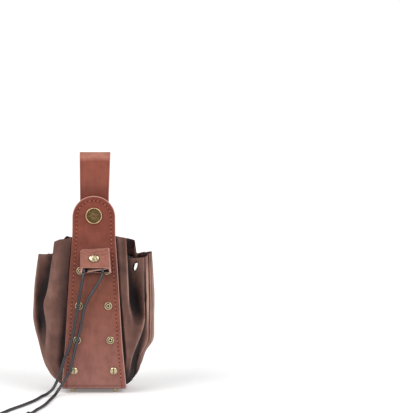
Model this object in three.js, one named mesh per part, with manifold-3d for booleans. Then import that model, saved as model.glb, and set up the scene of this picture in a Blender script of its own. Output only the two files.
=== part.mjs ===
// Drawstring belt pouch: a gathered suede bag held in a stiff leather strip, with a belt loop.
// Millimetres, +Z up. The pouch stands on its foot rivets, its front faces -Y, and the origin
// is on the ground under the middle of the pouch.
import * as THREE from "three";
import { mergeVertices } from "three/addons/utils/BufferGeometryUtils.js";
import Module from "manifold-3d";

const wasm = await Module();
wasm.setup();

// ---- Driving dimensions ----------------------------------------------------------------
const GAP = 0.3; // clearance between pieces that touch
const STRIP_THICK = 2.8; // stiff leather
const LOOP_THICK = 2.4; // softer strap leather
const SUEDE_THICK = 1.5;
const HOLE_PLAY = 0.3; // clearance round a shank, cord or post in its hole
const SEAT = 0.6; // clearance between the bag and the strip, whose facets differ

const TAB_TOP = 179.1; // top of the rounded front tab
const TAB_HALF = 19.4; // its half width, and the radius of its round end
const TAB_STRAIGHT = 152; // lower end of the tab's straight part, under the snap
const PANEL_TOP = 143; // where the panel has bent forward from the tab
const BACK_TOP = 133; // top edge of the back panel
const BACK_ROUND = 8; // radius of the back panel's upper corners
const FOOT_HEIGHT = 4; // ground to the underside of the base

const LOOP_TOP = 217.2; // crown of the belt loop
const LOOP_FOLD = 7.4; // outer radius of its fold
const LOOP_Y = 1.2; // middle of the fold, front to back
const LOOP_END = 149; // lower end of the front leg, behind the tab
const LOOP_START = 78; // lower end of the back leg, on the back panel

const SNAP_Z = 161.1;
const CORD_RADIUS = 1.25;
const CORD_SIDES = 8;
const STRING_SIDES = 6; // of the drawstring round the mouth

// Side profile of the strip's outer face: depth (y) at each height, from the tab down.
const FRONT_FACE = [
  { z: TAB_TOP, y: -13.2 },
  { z: 166, y: -13.2 },
  { z: 158, y: -13.2 },
  { z: 151, y: -13.3 },
  { z: 142, y: -16.4 },
  { z: 128, y: -21.4 },
  { z: 113, y: -26.4 },
  { z: 97, y: -30.2 },
  { z: 81, y: -32.6 },
  { z: 64, y: -33.5 },
  { z: 48, y: -32.9 },
  { z: 32, y: -30.6 },
  { z: 20, y: -28.2 },
  { z: 9.5, y: -25.4 },
];
const BACK_FACE = [
  { z: 9.5, y: 25.4 },
  { z: 22, y: 27.8 },
  { z: 40, y: 30.0 },
  { z: 60, y: 31.0 },
  { z: 80, y: 30.4 },
  { z: 100, y: 28.2 },
  { z: 118, y: 24.8 },
  { z: BACK_TOP, y: 21.2 },
];
const CORNER_REACH = 5.2; // how far the base corners' bends reach along the base

// Half width of the strip at each height.
const STRIP_WIDTH = [
  { z: 0, half: 29.3 },
  { z: 8, half: 29.0 },
  { z: 49, half: 25.6 },
  { z: 103, half: 22.5 },
  { z: 143, half: 19.6 },
  { z: 159.7, half: TAB_HALF },
];

// Rivets through the strip and the suede: height and half spacing of each pair.
const RIVET_ROWS = [
  { z: 112.7, front: 12.0, back: 9.0 },
  { z: 81.4, front: 13.2, back: 9.0 },
  { z: 50.7, front: 15.0, back: 15.0 },
  { z: 22.0, front: 17.8, back: 17.8 },
];
const LOOP_RIVET_ROWS = 2; // the back's upper rows also hold the belt loop
const FOOT = { x: 19.2, y: 15 };

// ---- Small helpers ---------------------------------------------------------------------
const v2 = (y, z) => new THREE.Vector2(y, z);

function between(rows, z, column) {
  if (z <= rows[0].z) return rows[0][column];
  for (let i = 1; i < rows.length; i++) {
    const low = rows[i - 1];
    const high = rows[i];
    if (z <= high.z) {
      const share = (z - low.z) / (high.z - low.z);
      return low[column] + share * (high[column] - low[column]);
    }
  }
  return rows[rows.length - 1][column];
}

function geometryOf(points, triangles) {
  const geometry = new THREE.BufferGeometry();
  geometry.setAttribute("position", new THREE.Float32BufferAttribute(points.flat(), 3));
  geometry.setIndex(triangles.flat());
  return geometry;
}

function solidOf(geometry) {
  const bare = geometry.clone();
  bare.deleteAttribute("normal");
  bare.deleteAttribute("uv");
  const merged = mergeVertices(bare, 1e-4);
  return new wasm.Manifold(
    new wasm.Mesh({
      numProp: 3,
      vertProperties: new Float32Array(merged.attributes.position.array),
      triVerts: new Uint32Array(merged.index.array),
    }),
  );
}

function geometryFrom(solid) {
  const mesh = solid.getMesh();
  const geometry = new THREE.BufferGeometry();
  geometry.setAttribute("position", new THREE.BufferAttribute(mesh.vertProperties, 3));
  geometry.setIndex(new THREE.BufferAttribute(mesh.triVerts, 1));
  return geometry;
}

function cutAway(geometry, tools) {
  let solid = solidOf(geometry);
  for (const tool of tools) {
    solid = solid.subtract(solidOf(tool));
  }
  return geometryFrom(solid);
}

// ---- The strip's side profile ----------------------------------------------------------
const frontCurve = new THREE.SplineCurve(FRONT_FACE.map((row) => v2(row.y, row.z)));
const backCurve = new THREE.SplineCurve(BACK_FACE.map((row) => v2(row.y, row.z)));

function cornerCurve(from, side) {
  const start = v2(from.y, from.z);
  const foot = v2(from.y - side * CORNER_REACH, FOOT_HEIGHT);
  const knee = v2(from.y - side * 1.2, FOOT_HEIGHT);
  return side < 0
    ? new THREE.QuadraticBezierCurve(start, knee, foot)
    : new THREE.QuadraticBezierCurve(foot, knee, start);
}
const frontCorner = cornerCurve(FRONT_FACE[FRONT_FACE.length - 1], -1);
const backCorner = cornerCurve(BACK_FACE[0], 1);

// The place and outward normal on a curve that runs front, down, under and up the back.
function placeOn(curve, t) {
  const p = curve.getPoint(t);
  const along = curve.getTangent(t);
  return { y: p.x, z: p.y, ny: along.y, nz: -along.x };
}

// The place on the front or back face at a height.
function faceAt(curve, z) {
  const falling = curve.getPoint(0).y > curve.getPoint(1).y;
  let low = 0;
  let high = 1;
  for (let i = 0; i < 40; i++) {
    const middle = (low + high) / 2;
    if (curve.getPoint(middle).y > z === falling) low = middle;
    else high = middle;
  }
  return placeOn(curve, (low + high) / 2);
}

const frontAt = (z) => faceAt(frontCurve, z);
const backAt = (z) => faceAt(backCurve, z);

// A strap: the rectangle of its width and thickness at each station along its profile.
function strapGeometry(stations, thick) {
  const points = [];
  const triangles = [];
  for (const s of stations) {
    const left = (s.shift ?? 0) - s.half;
    const right = (s.shift ?? 0) + s.half;
    const inner = { y: s.y - s.ny * thick, z: s.z - s.nz * thick };
    points.push([left, s.y, s.z], [right, s.y, s.z]);
    points.push([right, inner.y, inner.z], [left, inner.y, inner.z]);
  }
  const quad = (a, b, c, d) => triangles.push([a, b, c], [a, c, d]);
  for (let i = 0; i + 1 < stations.length; i++) {
    for (let k = 0; k < 4; k++) {
      const next = (k + 1) % 4;
      quad(4 * i + k, 4 * i + 4 + k, 4 * i + 4 + next, 4 * i + next);
    }
  }
  const last = 4 * (stations.length - 1);
  quad(0, 1, 2, 3);
  quad(last + 3, last + 2, last + 1, last);
  return geometryOf(points, triangles);
}

// ---- Fasteners: lathes whose axis stands on a face --------------------------------------
const RIVET = { cap: 3.5, dome: 1.7, shank: 1.4, washer: 3.0, back: 0.9 };
const LATHE_SIDES = 8;

// Turns a profile of [radius, height over the face] rows into a body standing on a place.
function turned(profile, x, place, sides = LATHE_SIDES) {
  const geometry = new THREE.LatheGeometry(
    profile.map(([radius, height]) => v2(radius, height)),
    sides,
  );
  const axis = new THREE.Vector3(0, place.ny, place.nz);
  const turn = new THREE.Quaternion().setFromUnitVectors(new THREE.Vector3(0, 1, 0), axis);
  geometry.applyQuaternion(turn);
  geometry.translate(x, place.y, place.z);
  return geometry;
}

// A hole through a face: from a little above it down to a depth under it.
function drilled(radius, x, place, above, below, sides = LATHE_SIDES) {
  return turned([[0, -below], [radius, -below], [radius, above], [0, above]], x, place, sides);
}

function rivetProfile(grip) {
  const under = -(grip + GAP);
  return [
    [0, under - RIVET.back],
    [RIVET.washer, under - RIVET.back],
    [RIVET.washer, under],
    [RIVET.shank, under],
    [RIVET.shank, GAP],
    [RIVET.cap, GAP],
    [RIVET.cap * 0.86, GAP + RIVET.dome * 0.62],
    [0, GAP + RIVET.dome],
  ];
}

function footProfile(grip) {
  const under = -(grip + GAP);
  return [
    [0, under - RIVET.back],
    [RIVET.washer, under - RIVET.back],
    [RIVET.washer, under],
    [RIVET.shank, under],
    [RIVET.shank, GAP],
    [3.1, GAP],
    [2.3, FOOT_HEIGHT * 0.5],
    [1.3, FOOT_HEIGHT],
    [0, FOOT_HEIGHT],
  ];
}

// ---- Materials --------------------------------------------------------------------------
const finish = (color, roughness, metalness) =>
  new THREE.MeshStandardMaterial({ color, roughness, metalness });
const leather = finish(0x8f5142, 0.55, 0);
const keeperLeather = finish(0xa86d5f, 0.6, 0);
const suede = finish(0x77564b, 0.95, 0);
const brass = finish(0xb39a66, 0.35, 1);
const cordFinish = finish(0x47474c, 0.8, 0);

const group = new THREE.Group();
function add(name, geometry, material) {
  const mesh = new THREE.Mesh(geometry, material);
  mesh.name = name;
  group.add(mesh);
}

// ---- Centre strip: front tab and panel, base and back panel -----------------------------
function roundedHalf(z, top, radius, half) {
  const over = Math.max(0, z - (top - radius));
  return half - radius + Math.sqrt(Math.max(0, radius * radius - over * over));
}

function stripHalf(place, top, radius) {
  return roundedHalf(place.z, top, radius, between(STRIP_WIDTH, place.z, "half"));
}

// Heights of the stations round an end of a given radius: even steps of the arc.
function endHeights(top, radius, steps) {
  return Array.from({ length: steps }, (_, i) => {
    const angle = ((steps - 0.55 - i) / steps) * (Math.PI / 2);
    return top - radius + radius * Math.sin(angle);
  });
}

const TAB_STEPS = 6; // stations round the tab's end, down the panel, and so on
const FRONT_STEPS = 9;
const CORNER_STEPS = 3;
const BACK_STEPS = 7;

function spanHeights(from, to, steps) {
  return Array.from({ length: steps + 1 }, (_, i) => from + ((to - from) * i) / steps);
}

function stripStations() {
  const tabShoulder = TAB_TOP - TAB_HALF;
  const backShoulder = BACK_TOP - BACK_ROUND;
  const front = [
    ...endHeights(TAB_TOP, TAB_HALF, TAB_STEPS),
    tabShoulder,
    TAB_STRAIGHT,
    ...spanHeights(PANEL_TOP, FRONT_FACE[FRONT_FACE.length - 1].z + 2, FRONT_STEPS),
  ].map(frontAt);
  const corner = (curve) => spanHeights(0, 1, CORNER_STEPS).map((t) => placeOn(curve, t));
  const back = [
    ...spanHeights(BACK_FACE[0].z + 2, backShoulder, BACK_STEPS),
    ...endHeights(BACK_TOP, BACK_ROUND, 3).reverse(),
  ].map(backAt);
  const wide = (top, radius) => (place) => ({ ...place, half: stripHalf(place, top, radius) });
  return [
    ...[...front, ...corner(frontCorner), ...corner(backCorner)].map(wide(TAB_TOP, TAB_HALF)),
    ...back.map(wide(BACK_TOP, BACK_ROUND)),
  ];
}

// ---- Belt loop: up from the back panel, over the fold, down behind the tab ---------------
const LOOP_WIDTH = [
  { z: 60, half: 13.9, shift: 0.4 },
  { z: 150, half: 12.9, shift: 0.3 },
  { z: 176, half: 13.0, shift: 0.4 },
  { z: LOOP_TOP, half: 13.95, shift: 1.05 },
];
const LOOP_LEG_Y = LOOP_Y - LOOP_FOLD; // the front leg's outer face
const LOOP_FOLD_Z = LOOP_TOP - LOOP_FOLD;
const LOOP_LEAVES = 127; // height at which the loop leaves the back panel
const LOOP_ROUND = 5; // radius of the front leg's lower corners
const LOOP_ROUND_STEPS = 3;
const LOOP_PANEL_STEPS = 5;
const RISE_STEPS = 18;
const FOLD_STEPS = 8;
const LOOP_RISE = [
  { y: 22.4, z: 143 },
  { y: 17.8, z: 159 },
  { y: 13.4, z: 176 },
  { y: 10.2, z: 193 },
];

function loopStations() {
  const onPanel = spanHeights(LOOP_START, LOOP_LEAVES, LOOP_PANEL_STEPS).map((z) => {
    const place = backAt(z);
    const lift = GAP + LOOP_THICK;
    return v2(place.y + place.ny * lift, place.z + place.nz * lift);
  });
  const rise = new THREE.SplineCurve([
    ...onPanel,
    ...LOOP_RISE.map((row) => v2(row.y, row.z)),
    v2(LOOP_Y + LOOP_FOLD, LOOP_FOLD_Z),
  ]);
  const up = spanHeights(0, 1, RISE_STEPS).map((t) => placeOn(rise, t));
  const fold = spanHeights(0, Math.PI, FOLD_STEPS).map((angle) => ({
    y: LOOP_Y + LOOP_FOLD * Math.cos(angle),
    z: LOOP_FOLD_Z + LOOP_FOLD * Math.sin(angle),
    ny: Math.cos(angle),
    nz: Math.sin(angle),
  }));
  const legPlace = (over) => ({ y: LOOP_LEG_Y, z: LOOP_END - over, ny: -1, nz: 0 });
  const end = endHeights(0, LOOP_ROUND, LOOP_ROUND_STEPS).map((over) => ({
    ...legPlace(over),
    trim: roundedHalf(over, 0, LOOP_ROUND, 0),
  }));
  const leg = [legPlace(-LOOP_ROUND), ...end.reverse()];
  return [...up.slice(0, -1), ...fold, ...leg].map((place) => ({
    ...place,
    half: between(LOOP_WIDTH, place.z, "half") + (place.trim ?? 0),
    shift: between(LOOP_WIDTH, place.z, "shift"),
  }));
}

// ---- Suede bag --------------------------------------------------------------------------
const FOOT_Z = 9.5; // heights of the bag's foot, hip, belly and chest
const HIP_Z = 32;
const BELLY_Z = 63;
const CHEST_Z = 96;
const RIM_FRONT = 141.8; // rim height under the front panel, and under the back panel
const RIM_BACK = 136;
const FOOT_OVAL = { x: 35.6, y: 21.8, power: 4 };
const FLOOR = { z: FOOT_HEIGHT + STRIP_THICK + GAP, share: 0.92 };
const UNDER_STRIP = 2.5; // how far inside the strip's edges the flat part of the bag ends
const RING_STEPS = 3; // points from one crease to the next
const LEVELS = 8;

// Each row is a ridge or a crease that runs from the rim down to the foot, in order round the
// bag: the height of its top end, and its place (x, y) at the rim, chest, belly and hip.
const LEFT_FOLDS = [
  // gap beside the strip, then the first fold: its crown, its outer side and the valley
  { top: 141.5, rim: [-21.4, -13.6], chest: [-25, -23.4], belly: [-27.2, -26], hip: [-29.4, -23.6] },
  { top: 142, rim: [-26.5, -18.8], chest: [-31, -29], belly: [-34, -30.5], hip: [-36, -25.5] },
  { top: 137, rim: [-35.5, -14.5], chest: [-40.6, -23], belly: [-44, -22.5], hip: [-42.5, -17] },
  { top: 130, rim: [-33.2, -5.5], chest: [-36.8, -9.5], belly: [-44, -12.5], hip: [-45.5, -11] },
  // outer fold
  { top: 123.5, rim: [-44, -7.5], chest: [-49.5, -11.5], belly: [-51.5, -11.5], hip: [-47, -6.5] },
  { top: 124.6, rim: [-51, -3], chest: [-54.2, -3], belly: [-55, -3], hip: [-47.6, -0.5] },
  { top: 122.5, rim: [-48.5, 5], chest: [-51.5, 5.5], belly: [-52, 6], hip: [-46.5, 5.5] },
  // valley and third fold
  { top: 121, rim: [-37.5, 5.5], chest: [-39.5, 8.5], belly: [-43, 10.5], hip: [-44, 11] },
  { top: 122, rim: [-43, 14], chest: [-48, 18], belly: [-48, 19], hip: [-41.5, 17] },
  { top: 124, rim: [-36, 19.5], chest: [-40.5, 25.5], belly: [-41, 26], hip: [-37, 21.5] },
  // valley and last fold, beside the back panel
  { top: 128, rim: [-28.5, 11.5], chest: [-31.5, 16.5], belly: [-34, 20], hip: [-34, 21.5] },
  { top: 137, rim: [-27, 17.5], chest: [-29.5, 25.5], belly: [-30.5, 27.5], hip: [-30, 23.5] },
];
const RIGHT_FOLDS = [
  // fold beside the back panel, its outer side and the valley
  { top: 136.2, rim: [28.4, 17.5], chest: [29.5, 25.8], belly: [30.5, 27.5], hip: [30, 23.5] },
  { top: 134.2, rim: [36.6, 16], chest: [37.5, 24], belly: [39, 25], hip: [36, 21.5] },
  { top: 123.5, rim: [38.6, 9.5], chest: [34, 13], belly: [37.5, 15.5], hip: [39, 17.5] },
  // third fold and its valley
  { top: 124, rim: [45.5, 13.5], chest: [47, 19.5], belly: [47.5, 19.5], hip: [42.5, 14.5] },
  { top: 124, rim: [43, 6.5], chest: [42, 9], belly: [44.5, 10], hip: [45, 8.5] },
  // outer fold, its groove and the narrow ridge before it
  { top: 126, rim: [52.4, 1], chest: [54.2, 1.5], belly: [54.5, 1], hip: [46.3, 1] },
  { top: 123.5, rim: [49.5, -3.5], chest: [50.8, -5], belly: [51.3, -6], hip: [46, -4.5] },
  { top: 122, rim: [48.3, -9.8], chest: [49.5, -13.5], belly: [50.5, -14], hip: [44.5, -9.5] },
  { top: 121.7, rim: [44.8, -5.5], chest: [44.8, -6.5], belly: [47.5, -11.5], hip: [40.5, -13] },
  // the flap with the hole: deep at the chest, forward and slanting inwards below it
  { top: 120.3, rim: [39, -3.2], chest: [39.5, -3.8], belly: [45, -19], hip: [37.2, -22.2] },
  { top: 119.2, rim: [32.8, -4.2], chest: [33, -6.5], belly: [38.5, -21.5], hip: [35, -25] },
  // first fold: its ridge and crown, and the gap beside the strip
  { top: 140.3, rim: [30.8, -16.5], chest: [32, -24.5], belly: [33.5, -27.5], hip: [33, -26] },
  { top: 142.3, rim: [26, -18.8], chest: [28.5, -28.8], belly: [30.5, -29.5], hip: [30.6, -25.6] },
  { top: 142.4, rim: [21.4, -13.6], chest: [24.9, -23.4], belly: [27, -25.5], hip: [28.6, -24.2] },
];

// Depth of the bag's outer wall behind a panel at a height.
function wallBehind(curve, z) {
  const place = faceAt(curve, z);
  const depth = STRIP_THICK + SEAT;
  return place.y - (Math.sign(place.ny) * depth) / Math.abs(place.ny);
}

function behindStrip(curve, side, top) {
  const place = (z) => [
    side * (between(STRIP_WIDTH, z, "half") - UNDER_STRIP),
    wallBehind(curve, z),
  ];
  return {
    top,
    rim: place(Math.min(top, curve === backCurve ? BACK_TOP : top)),
    chest: place(CHEST_Z),
    belly: place(BELLY_Z),
    hip: place(HIP_Z),
  };
}

function footPlace([x, y]) {
  const { x: halfX, y: halfY, power } = FOOT_OVAL;
  const reach = (Math.abs(x / halfX) ** power + Math.abs(y / halfY) ** power) ** (1 / power);
  return [x / reach, y / reach];
}

function creaseCurve(row) {
  const at = ([x, y], z) => new THREE.Vector3(x, y, z);
  const keys = [
    at(footPlace(row.hip), FOOT_Z),
    at(row.hip, HIP_Z),
    at(row.belly, BELLY_Z),
    at(row.chest, CHEST_Z),
    at(row.rim, row.top),
  ];
  return new THREE.CatmullRomCurve3(keys, false, "catmullrom", 0.5);
}

const creases = [
  ...LEFT_FOLDS,
  behindStrip(backCurve, -1, RIM_BACK),
  behindStrip(backCurve, 1, RIM_BACK),
  ...RIGHT_FOLDS,
  behindStrip(frontCurve, 1, RIM_FRONT),
  behindStrip(frontCurve, -1, RIM_FRONT),
].map(creaseCurve);
const RING = creases.length * RING_STEPS;

// Keeps a point of the bag behind the panels: flat against them, and never through them.
function settle(point) {
  const curve = point.y < 0 ? frontCurve : backCurve;
  const z = Math.min(point.z, curve === backCurve ? BACK_TOP : point.z);
  const wall = wallBehind(curve, z);
  const beyond = Math.abs(point.x) - between(STRIP_WIDTH, z, "half");
  const depth = Math.abs(point.y);
  if (beyond < -UNDER_STRIP / 2 && depth > Math.abs(wall) - 4) point.y = wall;
  else if (beyond < GAP + 0.5) point.y = Math.sign(point.y) * Math.min(depth, Math.abs(wall));
  return point;
}

function bagRing(share) {
  const around = new THREE.CatmullRomCurve3(
    creases.map((crease) => crease.getPoint(share)),
    true,
    "centripetal",
  );
  return Array.from({ length: RING }, (_, k) => settle(around.getPoint(k / RING)));
}

// The rings of the inner wall: each point goes in along its own normal.
function innerRings(rings, thick) {
  return rings.map((ring, j) =>
    ring.map((point, k) => {
      const up = rings[Math.min(j + 1, rings.length - 1)][k]
        .clone()
        .sub(rings[Math.max(j - 1, 0)][k]);
      const round = ring[(k + 1) % RING].clone().sub(ring[(k + RING - 1) % RING]);
      const outwards = up.cross(round).normalize();
      return point.clone().addScaledVector(outwards, -thick);
    }),
  );
}

function floorRing(ring, share, z) {
  return ring.map((point) => new THREE.Vector3(point.x * share, point.y * share, z));
}

function bagGeometry() {
  const walls = spanHeights(0, 1, LEVELS).map(bagRing);
  const lining = innerRings(walls, SUEDE_THICK);
  const outer = [floorRing(walls[0], FLOOR.share, FLOOR.z), ...walls];
  const inner = [floorRing(lining[0], FLOOR.share, FLOOR.z + SUEDE_THICK), ...lining];
  const points = [...outer, ...inner].flat().map((point) => point.toArray());
  const triangles = [];
  const last = outer.length - 1;
  const id = (layer, j, k) => (layer * outer.length + j) * RING + (k % RING);
  const under = points.push([0, 0, FLOOR.z]) - 1;
  const over = points.push([0, 0, FLOOR.z + SUEDE_THICK]) - 1;
  for (let k = 0; k < RING; k++) {
    for (let j = 0; j < last; j++) {
      const [a, b, c, d] = [id(0, j, k), id(0, j, k + 1), id(0, j + 1, k + 1), id(0, j + 1, k)];
      triangles.push([a, d, c], [a, c, b]);
      const [e, f, g, h] = [id(1, j, k), id(1, j, k + 1), id(1, j + 1, k + 1), id(1, j + 1, k)];
      triangles.push([e, g, h], [e, f, g]);
    }
    const [o, p, q, r] = [id(0, last, k), id(0, last, k + 1), id(1, last, k + 1), id(1, last, k)];
    triangles.push([o, r, q], [o, q, p]);
    triangles.push([under, id(0, 0, k), id(0, 0, k + 1)], [over, id(1, 0, k + 1), id(1, 0, k)]);
  }
  return geometryOf(points, triangles);
}

// ---- Cord keeper: a flattened leather tube in front of the panel -------------------------
const KEEPER = { x: 1.8, top: 130.6, half: 13.9, deep: 6.6, wall: 1.7, long: 21.6, off: 2.3 };
const KEEPER_ENTRY = 9; // the back layer starts this far under the top edge
const KEEPER_RIVET = { x: 0.6, along: 9.2, stretch: 1.45 };
const CHANNEL_DEPTH = KEEPER.off + KEEPER.deep / 2;

const keeperSeat = frontAt(KEEPER.top - (KEEPER.long * 0.95) / 2);
const keeperTop = frontAt(KEEPER.top);
const keeperAxes = new THREE.Matrix4().makeBasis(
  new THREE.Vector3(1, 0, 0),
  new THREE.Vector3(0, keeperSeat.ny, keeperSeat.nz),
  new THREE.Vector3(0, -keeperSeat.nz, keeperSeat.ny),
);
keeperAxes.setPosition(0, keeperTop.y, keeperTop.z);

// A point by its x, its depth over the panel and its distance down from the keeper's top edge.
const keeperPoint = (x, depth, along) =>
  new THREE.Vector3(x, depth, along).applyMatrix4(keeperAxes);

function roundedBox(shape, x, y, halfX, halfY, radius) {
  shape.moveTo(x - halfX + radius, y - halfY);
  shape.absarc(x + halfX - radius, y - halfY + radius, radius, -Math.PI / 2, 0);
  shape.absarc(x + halfX - radius, y + halfY - radius, radius, 0, Math.PI / 2);
  shape.absarc(x - halfX + radius, y + halfY - radius, radius, Math.PI / 2, Math.PI);
  shape.absarc(x - halfX + radius, y - halfY + radius, radius, Math.PI, Math.PI * 1.5);
  return shape;
}

function keeperGeometry() {
  const { x, half, deep, wall, long, off } = KEEPER;
  const middle = off + deep / 2;
  const section = roundedBox(new THREE.Shape(), x, middle, half, deep / 2, deep / 2 - 0.4);
  const hollow = deep / 2 - wall;
  section.holes.push(
    roundedBox(new THREE.Path(), x, middle, half - wall, hollow, hollow - 0.2),
  );
  const tube = new THREE.ExtrudeGeometry(section, {
    depth: long,
    bevelEnabled: false,
    curveSegments: 3,
  });
  const entry = new THREE.BoxGeometry(2 * (half - wall - 0.1), wall + 1.2, KEEPER_ENTRY * 2);
  entry.translate(x, off + wall / 2, 0);
  const rivetHole = new THREE.CylinderGeometry(1, 1, 4 * deep, LATHE_SIDES);
  const holeRadius = RIVET.shank + HOLE_PLAY;
  rivetHole.scale(holeRadius * KEEPER_RIVET.stretch, 1, holeRadius);
  rivetHole.translate(KEEPER_RIVET.x, middle, KEEPER_RIVET.along);
  return cutAway(tube, [entry, rivetHole]).applyMatrix4(keeperAxes);
}

function keeperRivetGeometry() {
  const { off, deep } = KEEPER;
  const face = off + deep;
  const profile = [
    [0, GAP],
    [2.4, GAP],
    [2.4, off - GAP],
    [RIVET.shank, off - GAP],
    [RIVET.shank, face + GAP],
    [3.3, face + GAP],
    [2.9, face + 1.3],
    [0, face + 1.9],
  ];
  const geometry = new THREE.LatheGeometry(
    profile.map(([radius, height]) => v2(radius, height)),
    LATHE_SIDES,
  );
  geometry.scale(KEEPER_RIVET.stretch, 1, 1);
  geometry.translate(KEEPER_RIVET.x, 0, KEEPER_RIVET.along);
  return geometry.applyMatrix4(keeperAxes);
}

// ---- Cords -------------------------------------------------------------------------------
const CORD_MEET = 0.25; // half the gap between two lengths that meet

function tube(points, radius, steps, sides) {
  const section = new THREE.Shape(
    Array.from({ length: sides }, (_, i) => {
      const angle = (2 * Math.PI * i) / sides;
      return v2(radius * Math.cos(angle), radius * Math.sin(angle));
    }),
  );
  const path = new THREE.CatmullRomCurve3(points, false, "centripetal");
  return new THREE.ExtrudeGeometry(section, { steps, extrudePath: path, bevelEnabled: false });
}

const at = (x, y, z) => new THREE.Vector3(x, y, z);

// The drawstring: out of one channel, in through the panel, round the mouth and back out.
const DRAWSTRING = [
  keeperPoint(-8.8, CHANNEL_DEPTH, KEEPER.long - CORD_MEET),
  keeperPoint(-8.7, CHANNEL_DEPTH, 14),
  keeperPoint(-8.5, CHANNEL_DEPTH, 9.5),
  keeperPoint(-8.5, CHANNEL_DEPTH - 1.6, 5.6),
  keeperPoint(-8.5, 0, 4.2),
  keeperPoint(-9, -6, 4.4),
  at(-14, -12.4, 124.4),
  at(-22, -13.2, 121.6),
  at(-31, -13.6, 117.5),
  at(-36.2, -11.2, 115),
  at(-38.2, -5.5, 114),
  at(-41, 1.5, 114),
  at(-41.8, 8, 114.5),
  at(-39.5, 13.6, 115.5),
  at(-33, 14.6, 118),
  at(-25, 14.8, 121),
  at(-13, 15.8, 124),
  at(0, 16, 125),
  at(13, 15.6, 123.5),
  at(25, 14.6, 120.5),
  at(34, 13.6, 118.6),
  at(40.4, 11.4, 118.2),
  at(43.4, 6.8, 118.6),
  at(41.6, 2.2, 119.4),
  at(36, 0.4, 120.4),
  at(30.6, -1.8, 121.4),
  at(26.4, -7, 122.6),
  at(22, -11.8, 122.6),
  at(14, -12.4, 124.4),
  keeperPoint(9, -6, 4.4),
  keeperPoint(8.5, 0, 4.2),
  keeperPoint(8.5, CHANNEL_DEPTH - 1.6, 5.6),
  keeperPoint(8.5, CHANNEL_DEPTH, 9.5),
  keeperPoint(8.4, CHANNEL_DEPTH, 14),
  keeperPoint(8.3, CHANNEL_DEPTH, KEEPER.long - CORD_MEET),
];
const DRAWSTRING_STEPS = 50;

// The free ends: down the panel, over its left lower corner and forward on the ground.
const GROUND = CORD_RADIUS + 0.05;
const CORD_LEFT = [
  keeperPoint(-8.8, CHANNEL_DEPTH, KEEPER.long + CORD_MEET),
  at(-9.6, -34.4, 107.4),
  at(-11.4, -35.6, 98),
  at(-13.1, -36.6, 88),
  at(-15, -37.4, 76),
  at(-17.2, -37.6, 64),
  at(-19.9, -37, 51),
  at(-23.2, -35.8, 41),
  at(-26.8, -34.4, 32.5),
  at(-29, -33.4, 23.5),
  at(-32.6, -33.2, 14.5),
  at(-37.2, -34.2, 6),
  at(-42, -37.4, 2.2),
  at(-46.4, -45, GROUND),
  at(-51.6, -64.5, GROUND),
  at(-61.7, -90.2, GROUND),
  at(-73.3, -115.6, GROUND),
  at(-79.2, -131, GROUND),
  at(-82.6, -141.5, 1.9),
];
const CORD_RIGHT = [
  keeperPoint(8.3, CHANNEL_DEPTH, KEEPER.long + CORD_MEET),
  at(6.7, -34.4, 107.4),
  at(0.6, -35.6, 97),
  at(-4.6, -36.8, 88.5),
  at(-8.2, -37.4, 80),
  at(-10.8, -37.6, 67),
  at(-14.7, -37.2, 51),
  at(-17.3, -36, 40.5),
  at(-18.9, -35, 32.5),
  at(-21, -34, 23.5),
  at(-26, -33.8, 14.5),
  at(-31.2, -35.4, 6.4),
  at(-34.6, -40.4, 2),
  at(-36.6, -50, GROUND),
  at(-38.8, -64.5, GROUND),
  at(-43.2, -92, GROUND),
  at(-49.5, -115.6, GROUND),
  at(-52.8, -131, GROUND),
  at(-54.6, -141.5, 1.9),
];
const CORD_STEPS = 34;

// A knot at a cord's end: a rounded lump that lies on the ground.
const KNOT = { long: 4.2, radius: 3.1 };
function knotGeometry(points) {
  const end = points[points.length - 1];
  const along = end.clone().sub(points[points.length - 2]).setZ(0).normalize();
  const geometry = new THREE.SphereGeometry(1, 8, 6);
  geometry.scale(KNOT.radius, KNOT.long, KNOT.radius);
  geometry.applyQuaternion(
    new THREE.Quaternion().setFromUnitVectors(new THREE.Vector3(0, 1, 0), along),
  );
  const middle = end.clone().addScaledVector(along, KNOT.long + GAP);
  geometry.translate(middle.x, middle.y, KNOT.radius);
  return geometry;
}

// ---- Snap: cap with its socket on the tab, stud on the loop's end ------------------------
const SNAP_CAP = [
  [0, -3.9],
  [2.6, -3.9],
  [2.6, -5.7],
  [4.4, -5.7],
  [4.4, -3.7],
  [5.6, -3.7],
  [5.6, -(STRIP_THICK + GAP)],
  [2, -(STRIP_THICK + GAP)],
  [2, GAP],
  [7.2, GAP],
  [7.5, 1],
  [7.1, 1.9],
  [6.4, 1.9],
  [6, 1.3],
  [0, 1.3],
];
const SNAP_STUD = [
  [0, -(LOOP_THICK + GAP + 0.9)],
  [5, -(LOOP_THICK + GAP + 0.9)],
  [5, -(LOOP_THICK + GAP)],
  [1.6, -(LOOP_THICK + GAP)],
  [1.6, GAP],
  [5.2, GAP],
  [5.2, GAP + 0.6],
  [2, GAP + 0.6],
  [2.1, 2],
  [1.6, 2.6],
  [0, 2.6],
];
const SNAP_SIDES = 12;
const loopLeg = { y: LOOP_LEG_Y, z: SNAP_Z, ny: -1, nz: 0 };

// ---- Assembly ----------------------------------------------------------------------------
const BAG_SLACK = 0.4; // the washers lie this loosely on the bag
const PANEL_GRIP = STRIP_THICK + SEAT + SUEDE_THICK + BAG_SLACK;
const LOOP_GRIP = PANEL_GRIP + GAP + LOOP_THICK;
const shankHole = RIVET.shank + HOLE_PLAY + 0.15;
const HOLE_REACH = 3;
const sides = [
  { name: "left", x: -1 },
  { name: "right", x: 1 },
];

const shafts = []; // holes that the rivets need in the strip, the loop and the bag
function rivet(name, x, place, grip, profile) {
  add(name, turned(profile(grip), x, place), brass);
  shafts.push(drilled(shankHole, x, place, HOLE_REACH, grip + HOLE_REACH, 6));
}

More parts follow.
